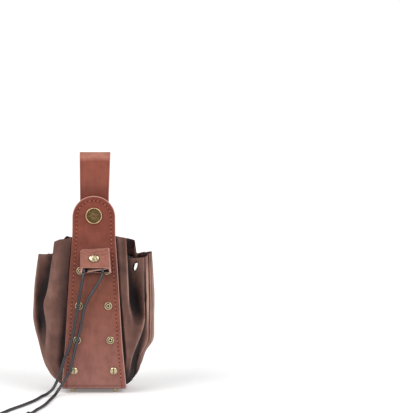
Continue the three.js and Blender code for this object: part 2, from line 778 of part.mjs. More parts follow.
RIVET_ROWS.forEach((row, i) => {
  for (const side of sides) {
    const label = `${i + 1}_${side.name}`;
    rivet(`rivet_front_${label}`, side.x * row.front, frontAt(row.z), PANEL_GRIP, rivetProfile);
    const onLoop = i < LOOP_RIVET_ROWS;
    const panel = backAt(row.z);
    const lift = onLoop ? GAP + LOOP_THICK : 0;
    const place = { ...panel, y: panel.y + panel.ny * lift, z: panel.z + panel.nz * lift };
    const grip = onLoop ? LOOP_GRIP : PANEL_GRIP;
    rivet(`rivet_back_${label}`, side.x * row.back, place, grip, rivetProfile);
  }
});
for (const end of [{ name: "front", y: -FOOT.y }, { name: "back", y: FOOT.y }]) {
  for (const side of sides) {
    const place = { y: end.y, z: FOOT_HEIGHT, ny: 0, nz: -1 };
    rivet(`foot_rivet_${end.name}_${side.name}`, side.x * FOOT.x, place, PANEL_GRIP, footProfile);
  }
}

const tabFace = frontAt(SNAP_Z);
const stringPath = tube(DRAWSTRING, CORD_RADIUS, DRAWSTRING_STEPS, STRING_SIDES);
const STRING_HOLE = CORD_RADIUS + HOLE_PLAY + 0.1;
const stringHole = tube(DRAWSTRING, STRING_HOLE, DRAWSTRING_STEPS, STRING_SIDES);
const snapHole = drilled(2 + HOLE_PLAY, 0, tabFace, HOLE_REACH, STRIP_THICK + HOLE_REACH);
const studHole = drilled(1.6 + HOLE_PLAY, 0, loopLeg, 1, LOOP_THICK + 1);

// The punched holes beside the right front fold, one behind another.
const PUNCH = { x: 37, z: 113, half: 2.3, high: 4.4, from: -12, to: 34, fall: 0.14 };
function punchGeometry() {
  const long = PUNCH.to - PUNCH.from;
  const oval = new THREE.CylinderGeometry(1, 1, long, 10);
  oval.scale(PUNCH.half, 1, PUNCH.high);
  oval.translate(0, PUNCH.from + long / 2, 0);
  oval.rotateX(-Math.atan(PUNCH.fall));
  return oval.translate(PUNCH.x, 0, PUNCH.z);
}

const strip = strapGeometry(stripStations(), STRIP_THICK);
add("centre_strip", cutAway(strip, [...shafts, snapHole, stringHole]), leather);
add("belt_loop", cutAway(strapGeometry(loopStations(), LOOP_THICK), [...shafts, studHole]), leather);
add("suede_bag", cutAway(bagGeometry(), [...shafts, stringHole, punchGeometry()]), suede);
add("snap_cap", turned(SNAP_CAP, 0, tabFace, SNAP_SIDES), brass);
add("snap_stud", turned(SNAP_STUD, 0, loopLeg, SNAP_SIDES), brass);
add("cord_keeper", keeperGeometry(), keeperLeather);
add("keeper_rivet", keeperRivetGeometry(), brass);
add("drawstring", stringPath, cordFinish);
add("cord_left", tube(CORD_LEFT, CORD_RADIUS, CORD_STEPS, CORD_SIDES), cordFinish);
add("cord_right", tube(CORD_RIGHT, CORD_RADIUS, CORD_STEPS, CORD_SIDES), cordFinish);
add("knot_left", knotGeometry(CORD_LEFT), cordFinish);
add("knot_right", knotGeometry(CORD_RIGHT), cordFinish);

export default group;
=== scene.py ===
import math
from functools import partial

import bmesh
import bpy
import numpy as np
from mathutils import Matrix, Vector, noise


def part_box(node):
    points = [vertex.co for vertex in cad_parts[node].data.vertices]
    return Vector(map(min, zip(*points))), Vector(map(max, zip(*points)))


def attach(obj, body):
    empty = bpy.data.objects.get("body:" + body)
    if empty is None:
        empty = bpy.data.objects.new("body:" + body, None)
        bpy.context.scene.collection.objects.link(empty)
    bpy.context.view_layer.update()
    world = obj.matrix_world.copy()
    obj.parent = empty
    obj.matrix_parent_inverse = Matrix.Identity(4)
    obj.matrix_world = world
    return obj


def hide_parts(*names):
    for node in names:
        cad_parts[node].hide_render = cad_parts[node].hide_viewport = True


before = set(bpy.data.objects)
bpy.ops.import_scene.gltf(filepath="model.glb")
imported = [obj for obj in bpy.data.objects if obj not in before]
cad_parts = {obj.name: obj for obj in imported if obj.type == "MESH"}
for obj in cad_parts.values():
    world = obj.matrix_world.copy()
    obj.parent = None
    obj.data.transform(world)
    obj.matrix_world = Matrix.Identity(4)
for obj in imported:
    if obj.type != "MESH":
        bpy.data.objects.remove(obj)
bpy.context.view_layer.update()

bl_info = {
    "name": "Drawstring Belt Pouch",
    "version": (1, 0, 0),
    "blender": (4, 5, 0),
    "location": "View3D > Sidebar > Pouch",
    "description": "Builds a gathered suede pouch in a riveted leather strip, with its cords",
    "category": "Object",
}

MM = 0.001  # the tables below are in millimetres, and meshes are in metres
BODY = "root"
DOUBLED = 1e-6  # points nearer than this, in metres, are one

# ---- Sizes that the CAD parts in model.glb give ----
TAB_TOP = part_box("centre_strip")[1].z / MM
STRIP_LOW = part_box("centre_strip")[0].z / MM
LOOP_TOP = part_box("belt_loop")[1].z / MM
SNAP_LOW, SNAP_HIGH = (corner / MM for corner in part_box("snap_cap"))
SNAP_Z = (SNAP_LOW.z + SNAP_HIGH.z) / 2
SNAP_RADIUS = (SNAP_HIGH.x - SNAP_LOW.x) / 2

# ---- Sizes of the straps ----
STRIP_THICK = 2.8
LOOP_THICK = 2.4
SUEDE_THICK = 1.5
GAP = 0.3  # clearance between hard pieces
SEAT = 0.6  # clearance between the bag and the strip
TAB_HALF = 19.4
BACK_TOP = 133.0
BACK_ROUND = 8.0
SUNK = 0.12  # how far the stitches have sunk into the leather

# Side profile of the strip's outer face: depth (y) and height of its main places.
FRONT_FACE = [
    (-13.2, TAB_TOP), (-13.2, 166.0), (-13.2, 158.0), (-13.3, 151.0), (-16.4, 142.0),
    (-21.4, 128.0), (-26.4, 113.0), (-30.2, 97.0), (-32.6, 81.0), (-33.5, 64.0),
    (-32.9, 48.0), (-30.6, 32.0), (-28.2, 20.0), (-25.4, 9.5),
]
BACK_FACE = [
    (25.4, 9.5), (27.8, 22.0), (30.0, 40.0), (31.0, 60.0), (30.4, 80.0), (28.2, 100.0),
    (24.8, 118.0), (21.2, BACK_TOP),
]
CORNER_REACH = 5.2  # how far the base corners' bends reach along the base
CORNER_KNEE = 1.2

# Half width of the strip at each height.
STRIP_WIDTH = [(0.0, 29.3), (8.0, 29.0), (49.0, 25.6), (103.0, 22.5), (143.0, 19.6),
               (159.7, TAB_HALF)]

# Belt loop: its rise from the back panel, its fold, and its front leg behind the tab.
LOOP_FOLD = 7.4
LOOP_Y = 1.2
LOOP_START = 78.0
LOOP_LEAVES = 127.0
LOOP_END = 149.0
LOOP_ROUND = 5.0
LOOP_RISE = [(22.4, 143.0), (17.8, 159.0), (13.4, 176.0), (10.2, 193.0)]
# Half width and sideways shift of the loop at each height.
LOOP_WIDTH = [(60.0, 13.9, 0.4), (150.0, 12.9, 0.3), (176.0, 13.0, 0.4), (LOOP_TOP, 13.95, 1.05)]

# ---- Suede bag ----
FOOT_Z, HEEL_Z, HIP_Z, BELLY_Z, WAIST_Z, CHEST_Z = 9.5, 17.5, 32.0, 62.0, 82.0, 98.0
SAG_Z = 46.0  # how far down the outermost right folds hang straight
SAG_FROM = 48.0  # the x at the belly from which a fold is one of them
SAG_SHARE = 0.985  # how much of its x at the belly such a fold still has there
RIM_FRONT = 141.8
RIM_BACK = 136.0
FOOT_OVAL = (34.4, 21.8, 4)  # half width, half depth and power of the foot's outline
HEEL_SHARE = 0.55  # how far out the heel is from the foot towards the hip
FLOOR_Z = STRIP_LOW + STRIP_THICK + GAP
FLOOR_SHARE = 0.92  # the bag's floor against its foot
LIP_RISE = 0.35  # how much of its thickness the rim is rounded by
UNDER_STRIP = 2.5  # how far the bag's row behind a panel is from the panel's edge
BESIDE = 0.8  # how far beside the panels the bag still stays behind them
RING_STEPS = 11  # points from one crease to the next
LEVELS = 96

# Each row is a ridge or a crease from the rim to the foot, in order round the bag: the height
# of its top end, how crisp it is from 0 to 1, its place (x, y) at the rim, chest, waist, belly
# and hip, and its tone there and at the foot, one digit each, from 0 to 9: painted shade and
# light, low in the shaded hollows and high on the lit faces and ridges. A foot without its own
# digit has the tone of the hip.
LEFT_FOLDS = [
    (141.2, 0.3, (-20.5, -15.6), (-23.9, -27.4), (-24.9, -28.8), (-26.1, -29), (-28, -25.8),
     "43322"),
    (140.4, 0.1, (-24, -17.8), (-27.4, -29.8), (-29.2, -31.2), (-31, -31.4), (-33, -27.6), "43344"),
    (139.8, 0.1, (-31.2, -18.2), (-35, -29.8), (-38, -30.2), (-37.8, -29.6), (-38.8, -22.6),
     "55555"),
    (137, 0.8, (-35.9, -14.4), (-41.4, -24.2), (-45.2, -24.4), (-43.2, -23.2), (-42.8, -17.8),
     "56666"),
    (132, 0.4, (-34.4, -7.5), (-38.4, -12.5), (-41.6, -12.6), (-43, -14.6), (-44.8, -14.6),
     "11126"),
    (124.5, 0.3, (-38.6, -3.6), (-42.5, -7.2), (-45.5, -8.6), (-46, -12.4), (-46.2, -11.6),
     "31126"),
    (124.2, 0.0, (-45, -3.6), (-48.6, -6.6), (-50, -7.6), (-49.2, -10.4), (-46.8, -8.4), "63225"),
    (124.8, 0.5, (-50, -6.4), (-53, -9), (-53.9, -9.8), (-53.6, -9.6), (-47.6, -3.6), "67777"),
    (123.4, 0.0, (-50.6, -0.5), (-54, -1), (-55, -1), (-54.8, -1), (-47.4, 0.5), "55555"),
    (122.5, 0.3, (-48.5, 5), (-51.5, 5.5), (-52, 5.8), (-52, 6), (-46.5, 5.5), "44444"),
    (121, 0.5, (-37.5, 5.5), (-39.5, 8.5), (-41.5, 9.5), (-43, 10.5), (-44, 11), "11134"),
    (122, 0.4, (-43, 14), (-48, 18), (-48.2, 18.6), (-48, 19), (-41.5, 17), "55555"),
    (121.6, 0.6, (-36, 19.5), (-40.5, 25.5), (-41, 26), (-41, 26), (-37, 21.5), "56655"),
    (132.5, 0.5, (-30.4, 13), (-31.5, 16.5), (-33, 18.5), (-34, 20), (-34, 21.5), "11124"),
    (138, 0.5, (-25.8, 17.3), (-29.5, 25.5), (-30, 26.8), (-30.5, 27.5), (-30, 23.5), "55554"),
]
RIGHT_FOLDS = [
    (136.2, 0.5, (28.4, 17.5), (29.5, 25.8), (30, 27), (30.5, 27.5), (30, 23.5), "55554"),
    (134.2, 0.6, (36.6, 16), (37.5, 24), (38.4, 24.8), (39, 25), (36, 21.5), "55555"),
    (123.5, 0.5, (38.6, 9.5), (34, 13), (36, 14.5), (37.5, 15.5), (39, 17.5), "11124"),
    (124, 0.6, (45.5, 13.5), (47, 19.5), (47.4, 19.6), (47.5, 19.5), (42.5, 14.5), "56665"),
    (124, 0.5, (43, 7), (42, 9.6), (43.5, 10.2), (44.5, 10.6), (45, 9), "22234"),
    (126, 0.1, (52.2, 2), (54, 2.4), (54.4, 2.4), (54.3, 2.4), (44.9, 2.8), "45555"),
    (125.6, 0.5, (51.6, -2), (53, -3), (53.6, -3.4), (53.4, -3.6), (44.6, -2.2), "799984"),
    (125, 0.3, (50.8, -2.2), (51.8, -3.6), (52.2, -3.9), (52, -4.1), (43.8, -4), "566662"),
    (124.6, 0.6, (50, -4.2), (50.8, -7), (51.2, -7.4), (51, -7.6), (43.2, -6.2), "799972"),
    (124.2, 0.3, (49, -3.6), (49.6, -6.4), (50, -6.8), (49.8, -7.2), (42.4, -7), "455541"),
    (123.6, 0.6, (48.4, -7.4), (49.2, -11), (49.5, -11.6), (49, -12), (41.4, -9.6), "799880"),
    (122.4, 0.5, (46.9, -6.6), (47.5, -12.4), (47.6, -13.8), (46.4, -13.6), (38.8, -9.7), "799400"),
    (122, 0.2, (45.9, -6.6), (46.3, -11.8), (46.4, -13), (45.8, -14.6), (35.4, -15.9), "332100"),
    (121.8, 0.8, (45, -8.4), (45.6, -15.4), (45.8, -17.6), (45, -21.4), (34.4, -23.8), "788880"),
    (121, 0.0, (40.6, -4.8), (41.8, -9.4), (42.4, -12.4), (43.4, -23.8), (34, -25), "764560"),
    (120.5, 0.2, (34.5, -3.4), (36.2, -5.6), (37.4, -8.4), (40.6, -25.8), (33.4, -25.8), "530450"),
    (121.5, 0.4, (30.4, -6), (31.8, -9.5), (33, -12), (37.6, -27.6), (32.8, -26.6), "100450"),
    (140.6, 0.8, (29.6, -17.4), (31.2, -28.2), (32.2, -29.6), (34.6, -29.4), (32, -27.2), "798550"),
    (141.2, 0.0, (28.3, -17.5), (29.9, -28.9), (30.9, -30.2), (33.1, -29.8), (31.4, -27.2),
     "455550"),
    (142.2, 0.5, (22.6, -17.2), (25, -29.8), (26, -31.2), (27.6, -31), (29.6, -27.4), "544551"),
    (142.2, 0.3, (20.5, -15.4), (23.7, -27.8), (24.6, -29), (25.8, -28.6), (27.9, -26.4), "33221"),
]
# Dents in the front: their place (x, z), how far they reach each way, and their depth.
DENTS = [
    (39.6, 68.2, 6.2, 8.0, 9.0),
    (-47.0, 60.0, 3.0, 9.0, 3.5),
]
# The punched holes beside the right front fold, one behind another.
PUNCH = {"x": 37.0, "z": 113.0, "half": 2.0, "high": 4.4, "lean": 0.27, "from": -12.0, "fall": 0.14,
         "aside": 1.2}

# A place on the inside of the mouth with painted light, paler than the inside's painted shade.
LIT_INSIDE = {"x": 36.5, "z": 124.0, "wide": 4.5, "high": 4.2}

# ---- Keeper and cords ----
KEEPER = {"x": 1.8, "top": 130.6, "half": 13.9, "deep": 6.6, "wall": 1.7, "long": 21.6, "off": 2.3}
KEEPER_RIVET = {"x": 0.6, "along": 9.2, "stretch": 1.45}
CHANNEL = KEEPER["off"] + KEEPER["deep"] / 2
CORD_RADIUS = 1.25
CORD_MEET = 0.25
GROUND = CORD_RADIUS + 0.05


# ---- Helpers for curves ----
def between(rows, key, column=1):
    """The value of a table's column at a key, on straight lines between its rows."""
    return float(np.interp(key, [row[0] for row in rows], [row[column] for row in rows]))


def bump(*parts):
    """A number that is 1 where each (distance, reach) is at 0, and fades to 0 past the reach."""
    return np.exp(-sum((away / reach) ** 2 for away, reach in parts))


def unit(vectors):
    """Vectors made one long."""
    return vectors / np.linalg.norm(vectors, axis=-1, keepdims=True)


def around(count):
    """Each place of a ring with the place after it."""
    return [(k, (k + 1) % count) for k in range(count)]


def runs(points):
    """How far each point of a path is from its start, along it."""
    return np.r_[0, np.cumsum(np.linalg.norm(np.diff(points, axis=0), axis=1))]


def with_ends(points):
    """A path's points with one more beyond each end."""
    keys = np.asarray(points, float)
    return np.vstack([2 * keys[0] - keys[1], keys, 2 * keys[-1] - keys[-2]])


def spline(points, shares):
    """Places on a uniform Catmull-Rom curve, for shares from 0 to 1 of its spans."""
    keys, spans = with_ends(points), len(points) - 1
    index = np.clip((shares * spans).astype(int), 0, spans - 1)
    t = (shares * spans - index)[:, None]
    a, b, c, d = (keys[index + k] for k in range(4))
    return 0.5 * (
        2 * b + (c - a) * t + (2 * a - 5 * b + 4 * c - d) * t**2 + (3 * b - a - 3 * c + d) * t**3
    )


def rounded(points, steps, crisp=None):
    """Places on a centripetal Catmull-Rom curve, a number of steps for each span. With a share
    of crispness for each point it is a closed ring, which turns sharply at the crisp points and
    has its steps closer together beside each point."""
    count, shares = len(points), np.arange(steps) / steps
    if crisp is None:
        keys, spans, soft = with_ends(points), count - 1, np.ones(count)
    else:
        keys, spans, soft = np.roll(points, 1, axis=0), count, 1 - np.array(crisp)
        shares = (shares + (1 - np.cos(np.pi * shares)) / 2) / 2
    t = shares[:, None]
    made = []
    for i in range(spans):
        a, b, c, d = (keys[(i + k) % len(keys)] for k in range(4))
        k1, k2, k3 = (max(np.linalg.norm((to - start)[:3]), 1e-6) ** 0.5
                      for start, to in ((a, b), (b, c), (c, d)))
        leave = ((b - a) / k1 - (c - a) / (k1 + k2) + (c - b) / k2) * k2 * soft[i]
        arrive = ((c - b) / k2 - (d - b) / (k2 + k3) + (d - c) / k3) * k2 * soft[(i + 1) % count]
        made.append(b + leave * t + (3 * (c - b) - 2 * leave - arrive) * t**2
                    + (2 * (b - c) + leave + arrive) * t**3)
    return np.vstack(made + [keys[-2:-1]] if crisp is None else made)


def even_path(points, step):
    """The points' smooth curve, cut into even steps."""
    dense = rounded(points, 24)
    run = runs(dense)
    at = np.linspace(0, run[-1], round(run[-1] / step) + 1)
    return np.column_stack([np.interp(at, run, values) for values in dense.T])


def cut_path(points, start, stop):
    """The stretch of a path between two lengths along it."""
    run = runs(points)
    at = np.r_[start, run[(run > start) & (run < stop)], stop]
    return np.column_stack([np.interp(at, run, values) for values in np.transpose(points)])


class Profile:
    """A side profile (y, z) by its length, with the outward side on its left hand."""

    def __init__(self, *parts):
        points = np.vstack(parts)
        self.points = points[np.r_[True, np.diff(runs(points)) > 1e-4]]
        self.run = runs(self.points)
        self.length = self.run[-1]

    def point(self, s):
        """Beyond its ends the profile runs straight on."""
        if 0 <= s <= self.length:
            return np.array([np.interp(s, self.run, values) for values in self.points.T])
        end, near, over = (0, 1, -s) if s < 0 else (-1, -2, s - self.length)
        return self.points[end] + unit(self.points[end] - self.points[near]) * over

    def normal(self, s, step=0.6):
        """The outward direction at a length."""
        y, z = unit(self.point(s + step) - self.point(s - step))
        return np.array([z, -y])

    def place(self, s, depth=0.0):
        """The point at a length, at a depth under the face."""
        return self.point(s) - self.normal(s) * depth

    def nearest(self, y, z):
        """The length at which the profile is nearest to a place."""
        fine = np.linspace(0, self.length, 4000)
        ys, zs = (np.interp(fine, self.run, values) for values in self.points.T)
        return float(fine[np.argmin((ys - y) ** 2 + (zs - z) ** 2)])

    def at_height(self, z):
        """The length at which the profile is at a height."""
        order = np.argsort(self.points[:, 1])
        return float(np.interp(z, self.points[order, 1], self.run[order]))


def base_corner(start, side):
    """The strip's bend from a panel into the base; side is -1 at the front, 1 at the back."""
    knee, foot = ((start[0] - side * reach, STRIP_LOW) for reach in (CORNER_KNEE, CORNER_REACH))
    t = np.linspace(0, 1, 13)[:, None]
    bend = (1 - t) ** 2 * start + 2 * t * (1 - t) * np.array(knee) + t**2 * np.array(foot)
    return bend[::-side]


front_points = spline(FRONT_FACE, np.linspace(0, 1, 200))
back_points = spline(BACK_FACE, np.linspace(0, 1, 130))
strip_profile = Profile(front_points, base_corner(front_points[-1], -1),
                        base_corner(back_points[0], 1), back_points)
front_profile = Profile(front_points)
back_profile = Profile(back_points)


# ---- Helpers for meshes ----
def smooth_mesh(name, points, faces=(), edges=(), **values):
    """A mesh from millimetre points, smooth all over, with the numbers that materials read."""
    mesh = bpy.data.meshes.new(name)
    mesh.from_pydata([Vector(p) * MM for p in points], edges, faces)
    mesh.polygons.foreach_set("use_smooth", [True] * len(mesh.polygons))
    for label, numbers in values.items():
        layer = mesh.attributes.new(label, "FLOAT", "POINT")
        layer.data.foreach_set("value", np.asarray(numbers, np.float32))
    return mesh


def patch(wide, high):
    """The cells of a grid of points, row after row, and the points round its rim in order."""
    size = wide * high
    cells = [(k, k + 1, k + wide + 1, k + wide) for k in range(size - wide) if (k + 1) % wide]
    rim = list(range(wide)) + [k * wide - 1 for k in range(2, high)]
    return cells, rim + list(range(size - 1, size - wide, -1)) + [
        k * wide for k in range(high - 1, 0, -1)]


def mend(mesh, turn=False):
    """Turns all faces outwards, or merges doubled points and drops faces without any area."""
    work = bmesh.new()
    work.from_mesh(mesh)
    if turn:
        bmesh.ops.recalc_face_normals(work, faces=work.faces)
    else:
        bmesh.ops.remove_doubles(work, verts=work.verts, dist=DOUBLED)
        bmesh.ops.dissolve_degenerate(work, dist=DOUBLED, edges=work.edges)
    work.to_mesh(mesh)
    work.free()
    return mesh


def new_object(data):
    """Shows a mesh, a camera or a light in the scene under its own name."""
    piece = bpy.data.objects.new(data.name, data)
    bpy.context.scene.collection.objects.link(piece)
    return piece


def add_piece(mesh, material, slot, *replaced):
    """Shows a finished mesh as a piece that stands for the CAD nodes it replaces."""
    piece = new_object(mesh)
    mesh.materials.clear()
    mesh.materials.append(material)
    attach(piece, BODY)
    if replaced:
        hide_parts(*replaced)
    return piece


def lathe(name, rows, sides):
    """Turns (radius, height, recess) rows round Z. The first and the last lie on the axis."""
    angles = [2 * math.pi * i / sides for i in range(sides)]
    points = [(r * math.cos(a), r * math.sin(a), height) for r, height, _ in rows for a in angles]
    faces = [(k + i, k + j, k + sides + j, k + sides + i)
             for k in range(0, len(points) - sides, sides) for i, j in around(sides)]
    return mend(smooth_mesh(name, points, faces, recess=[row[2] for row in rows for _ in angles]))


# ---- Materials ----
def linear(code):
    """An sRGB hex value as linear red, green, blue and alpha."""
    parts = [int(code[i:i + 2], 16) / 255 for i in (1, 3, 5)]
    return tuple(v / 12.92 if v <= 0.04045 else ((v + 0.055) / 1.055) ** 2.4 for v in parts) + (1,)


def node(tree, family, kind, inputs=(), out=None, stops=(), **settings):
    """Adds a node with its settings and colour stops, fills or links its inputs, and gives the
    output with a name, or else the first in use. A colour may be a hex value."""
    made = tree.nodes.new(family + kind)
    for name, value in settings.items():
        setattr(made, name, value)
    if stops:
        elements = made.color_ramp.elements
        elements.remove(elements[1])
    for k, (place, colour) in enumerate(stops):
        element = elements.new(place) if k else elements[0]
        element.position = place
        element.color = linear(colour) if isinstance(colour, str) else colour
    for name, value in dict(inputs).items():
        socket = made.inputs[name] if isinstance(name, int) else next(
            s for s in made.inputs if s.name == name and s.enabled)
        if isinstance(value, bpy.types.NodeSocket):
            tree.links.new(value, socket)
        else:
            is_hex = isinstance(value, str) and value.startswith("#")
            socket.default_value = linear(value) if is_hex else value
    return made.outputs[out] if out else next((s for s in made.outputs if s.enabled), None)


def new_material(name):
    """A material, the function that adds nodes to its empty tree, and its coordinates."""
    material = bpy.data.materials.new(name)
    material.use_nodes = True
    material.node_tree.nodes.clear()
    add = partial(node, material.node_tree, "ShaderNode")
    return material, add, add("TexCoord", out="Object")


def per_mm(size):
    """The scale at which a pattern repeats about once in a size in millimetres."""
    return 1 / (size * MM)


def greys(stops):
    """Colour stops near white, to multiply a colour by."""
    return [(place, (*colour, 1)) for place, *colour in stops]


OVER = {"data_type": "RGBA"}
TIMES = OVER | {"blend_type": "MULTIPLY"}


def bridle_leather(name, tones, edge, cloud_mm=11.0, grain_mm=0.9, roughness=0.5, seam=None):
    """Vegetable-tanned strap leather, dyed and waxed: a satin face with fine pores and cloudy
    dye, a little darker round its border, a pale rubbed cut edge that on the keeper's sides is a
    painted highlight, and a dark flesh side that also carries painted shade. The seam is the
    distance in millimetres from the edge at which a sewn row has pressed a groove; it is darker
    there, pressed leather and painted shade of a groove that the mesh doesn't have."""
    material, add, place = new_material(name)
    border, cut, flesh = (add("Attribute", out="Fac", attribute_name=label)
                          for label in ("border", "cut", "flesh"))
    cloud = add("TexNoise", {"Vector": place, "Scale": per_mm(cloud_mm), "Detail": 5.0,
                             "Roughness": 0.55})
    streak = add("TexNoise", {
        "Vector": add("Mapping", {"Vector": place, "Scale": (1.0, 1.0, 0.22)}),
        "Scale": per_mm(2.6), "Detail": 4.0})
    rise = add("MapRange", {"Value": add("SeparateXYZ", {"Vector": place}, out="Z"),
                            "From Min": STRIP_LOW * MM, "From Max": LOOP_TOP * MM})
    # Colour by height: the dye, and in the straps' tones also painted light and shade.
    dyed = add("ValToRGB", {"Fac": rise}, stops=tones)
    dims = [(0.0, 0.97), (0.1, 0.9), (0.5, 1.0)]
    # Darker along the sewn row: leather pressed into a groove, with the groove's shade painted on.
    if seam:
        at = seam / BORDER_REACH
        dims = [(0.0, 0.97), (at - 0.16, 0.92), (at - 0.04, 0.7), (at + 0.04, 0.7),
                (at + 0.16, 0.97), (1.0, 1.0)]
    for share, spread, stops in (
            (1.0, cloud, [(0.28, 0.80, 0.76, 0.74), (0.52, 1, 1, 1), (0.78, 1.15, 1.13, 1.10)]),
            (0.7, streak, [(0.3, 0.88, 0.85, 0.83), (0.7, 1.08, 1.07, 1.06)]),
            (1.0, border, [(spot, dim, dim * dim, dim * dim) for spot, dim in dims])):
        shade = add("ValToRGB", {"Fac": spread}, stops=greys(stops))
        dyed = add("Mix", {"Factor": share, "A": dyed, "B": shade}, **TIMES)
    rubbed = add("MapRange", {"Value": cut, "From Min": 0.1, "From Max": 0.7})
    faced = add("Mix", {"Factor": rubbed, "A": dyed, "B": edge}, **OVER)
    pores = add("TexVoronoi", {"Vector": place, "Scale": per_mm(grain_mm), "Randomness": 1.0})
    fine = add("TexNoise", {"Vector": place, "Scale": per_mm(0.45), "Detail": 3.0})
    relief = add("Math", {0: pores, 1: fine, 2: streak}, operation="MULTIPLY_ADD")
    add("OutputMaterial", {"Surface": add("BsdfPrincipled", {
        "Base Color": add("Mix", {"Factor": flesh, "A": faced, "B": "#2A1712"}, **OVER),
        "Roughness": add("MapRange", {"Value": cloud, "From Min": 0.3, "From Max": 0.7,
                                      "To Min": roughness - 0.05, "To Max": roughness + 0.09}),
        "Normal": add("Bump", {"Height": relief, "Strength": 0.35, "Distance": 0.14 * MM}),
        "IOR": 1.45, "Specular IOR Level": 0.25})})
    return material


def suede_leather(name):
    """Split cowhide with a brushed nap: no gloss, a soft pale sheen where the nap turns away,
    paler on the ridges where the nap is rubbed and a painted highlight lies, and with painted
    shade and light from its tone: dark in the folds' hollows, pale on their lit faces."""
    material, add, place = new_material(name)
    tone, ridge = (add("Attribute", out="Fac", attribute_name=label)
                   for label in ("tone", "ridge"))
    cloud = add("TexNoise", {"Vector": place, "Scale": per_mm(12.0), "Detail": 6.0,
                             "Roughness": 0.6})
    drift = add("MapRange", {"Value": cloud, "From Min": 0.25, "From Max": 0.75,
                             "To Min": -0.1, "To Max": 0.1})
    # The tone attribute is painted shade and light: near black in the hollows, pale on lit faces.
    base = add("ValToRGB", {"Fac": add("Math", {0: tone, 1: drift}, operation="ADD")}, stops=[
        (0.0, "#211C1E"), (0.22, "#302728"), (0.42, "#553D37"), (0.56, "#6C4D45"),
        (0.78, "#8A6A60"), (1.0, "#B08D80")])
    nap = add("TexNoise", {"Vector": place, "Scale": per_mm(0.7), "Detail": 6.0,
                           "Roughness": 0.75})
    shade = add("ValToRGB", {"Fac": nap}, stops=greys(
        [(0.3, 0.82, 0.80, 0.79), (0.7, 1.12, 1.10, 1.09)]))
    brushed = add("Mix", {"Factor": 0.9, "A": base, "B": shade}, **TIMES)
    # Paler ridges: rubbed nap and a painted highlight, scaled by the painted tone.
    rubbed = add("Math", {0: ridge, 1: tone}, operation="MULTIPLY")
    rough = add("TexNoise", {"Vector": place, "Scale": per_mm(0.35), "Detail": 4.0})
    relief = add("Math", {0: nap, 1: rough}, operation="ADD")
    add("OutputMaterial", {"Surface": add("BsdfPrincipled", {
        "Base Color": add("Mix", {"Factor": rubbed, "A": brushed, "B": "#A68073"}, **OVER),
        "Normal": add("Bump", {"Height": relief, "Strength": 0.5, "Distance": 0.25 * MM}),
        "Roughness": 0.95, "Specular IOR Level": 0.2, "Sheen Weight": 0.08,
        "Sheen Roughness": 0.5, "Sheen Tint": "#C9A598"})})
    return material


def antique_brass(name, bright, tarnish, roughness=0.32):
    """Plated brass with its recesses left dark: bright where it is rubbed, olive where not. The
    same number also paints a dark reflection on the lower rivets and shade round the keeper
    rivet's cap.
    """
    material, add, place = new_material(name)
    recess = add("Attribute", out="Fac", attribute_name="recess")
    spots = add("TexNoise", {"Vector": place, "Scale": per_mm(1.6), "Detail": 5.0})
    wear_and_painted_light = {"Value": add("Math", {0: spots, 1: 0.7, 2: recess}, operation="MULTIPLY_ADD"),
            "From Min": 0.3, "From Max": 1.15}
    add("OutputMaterial", {"Surface": add("BsdfPrincipled", {
        "Base Color": add("Mix", {"Factor": add("MapRange", wear_and_painted_light), "A": bright, "B": tarnish},
                          **OVER),
        "Roughness": add("MapRange", wear_and_painted_light | {"To Min": roughness - 0.06,
                                             "To Max": roughness + 0.25}),
        "Normal": add("Bump", {"Height": spots, "Strength": 0.25, "Distance": 0.08 * MM}),
        "Metallic": 1.0})})
    return material


def plain_finish(name, size_mm, detail, stops, inputs, crown=False):
    """A finish of two or three tones, with spots of a size in millimetres. Where it has a
    crown, the spots are faint, the raised places are paler and the crossings darker: painted
    highlight and shade."""
    material, add, place = new_material(name)
    tone = add("TexNoise", {"Vector": place, "Scale": per_mm(size_mm), "Detail": detail})
    if crown:
        raised = add("Attribute", out="Fac", attribute_name="crown")
        tone = add("Math", {0: tone, 1: 0.4, 2: raised}, operation="MULTIPLY_ADD")
    add("OutputMaterial", {"Surface": add("BsdfPrincipled", {
        "Base Color": add("ValToRGB", {"Fac": tone}, stops=stops)} | inputs)})
    return material


# ---- Straps ----
EDGE_STEPS = 4  # steps round each rounded edge
FACE_WEAR = 0.2  # how worn a face is where its edge starts to round
BORDER_REACH = 7.0  # how far from a strap's edge its border is measured
# Shares of a strap's half width, close together where its border is worn.
ACROSS = (0.0, 0.15, 0.3, 0.45, 0.58, 0.7, 0.77, 0.81, 0.85, 0.89, 0.93, 0.96, 0.98, 1.0)


def round_end(s_end, direction, radius, half_at, steps):
    """Stations round one end of a strap: (length, half width, normal across, normal along)."""
    half = half_at(s_end - direction * radius)
    return [(s_end - direction * radius * (1 - math.sin(angle)),
             half - radius * (1 - math.cos(angle)), math.cos(angle), direction * math.sin(angle))
            for angle in np.linspace(0, math.pi / 2, steps + 1)]


def strap_stations(length, half_at, start, end, step):
    """Stations from one end of a strap to the other. start and end are (radius, steps)."""
    low, high = start[0], length - end[0]
    middle = []
    for s in np.linspace(low, high, round((high - low) / step) + 1)[1:-1]:
        lean = (half_at(s + 1) - half_at(s - 1)) / 2
        middle.append((s, half_at(s), 1 / math.hypot(1, lean), -lean / math.hypot(1, lean)))
    return (round_end(0.0, -1, start[0], half_at, start[1])[::-1] + middle
            + round_end(length, 1, end[0], half_at, end[1]))


def border_distance(points, outline):
    """How far each flat point is from a closed outline."""
    nearest = np.full(len(points), np.inf)
    for a, b in zip(outline, np.roll(outline, -1, axis=0)):
        along = b - a
        share = np.clip((points - a) @ along / max(along @ along, 1e-9), 0, 1)
        gap = points - (a + share[:, None] * along)
        nearest = np.minimum(nearest, np.hypot(*gap.T))
    return nearest


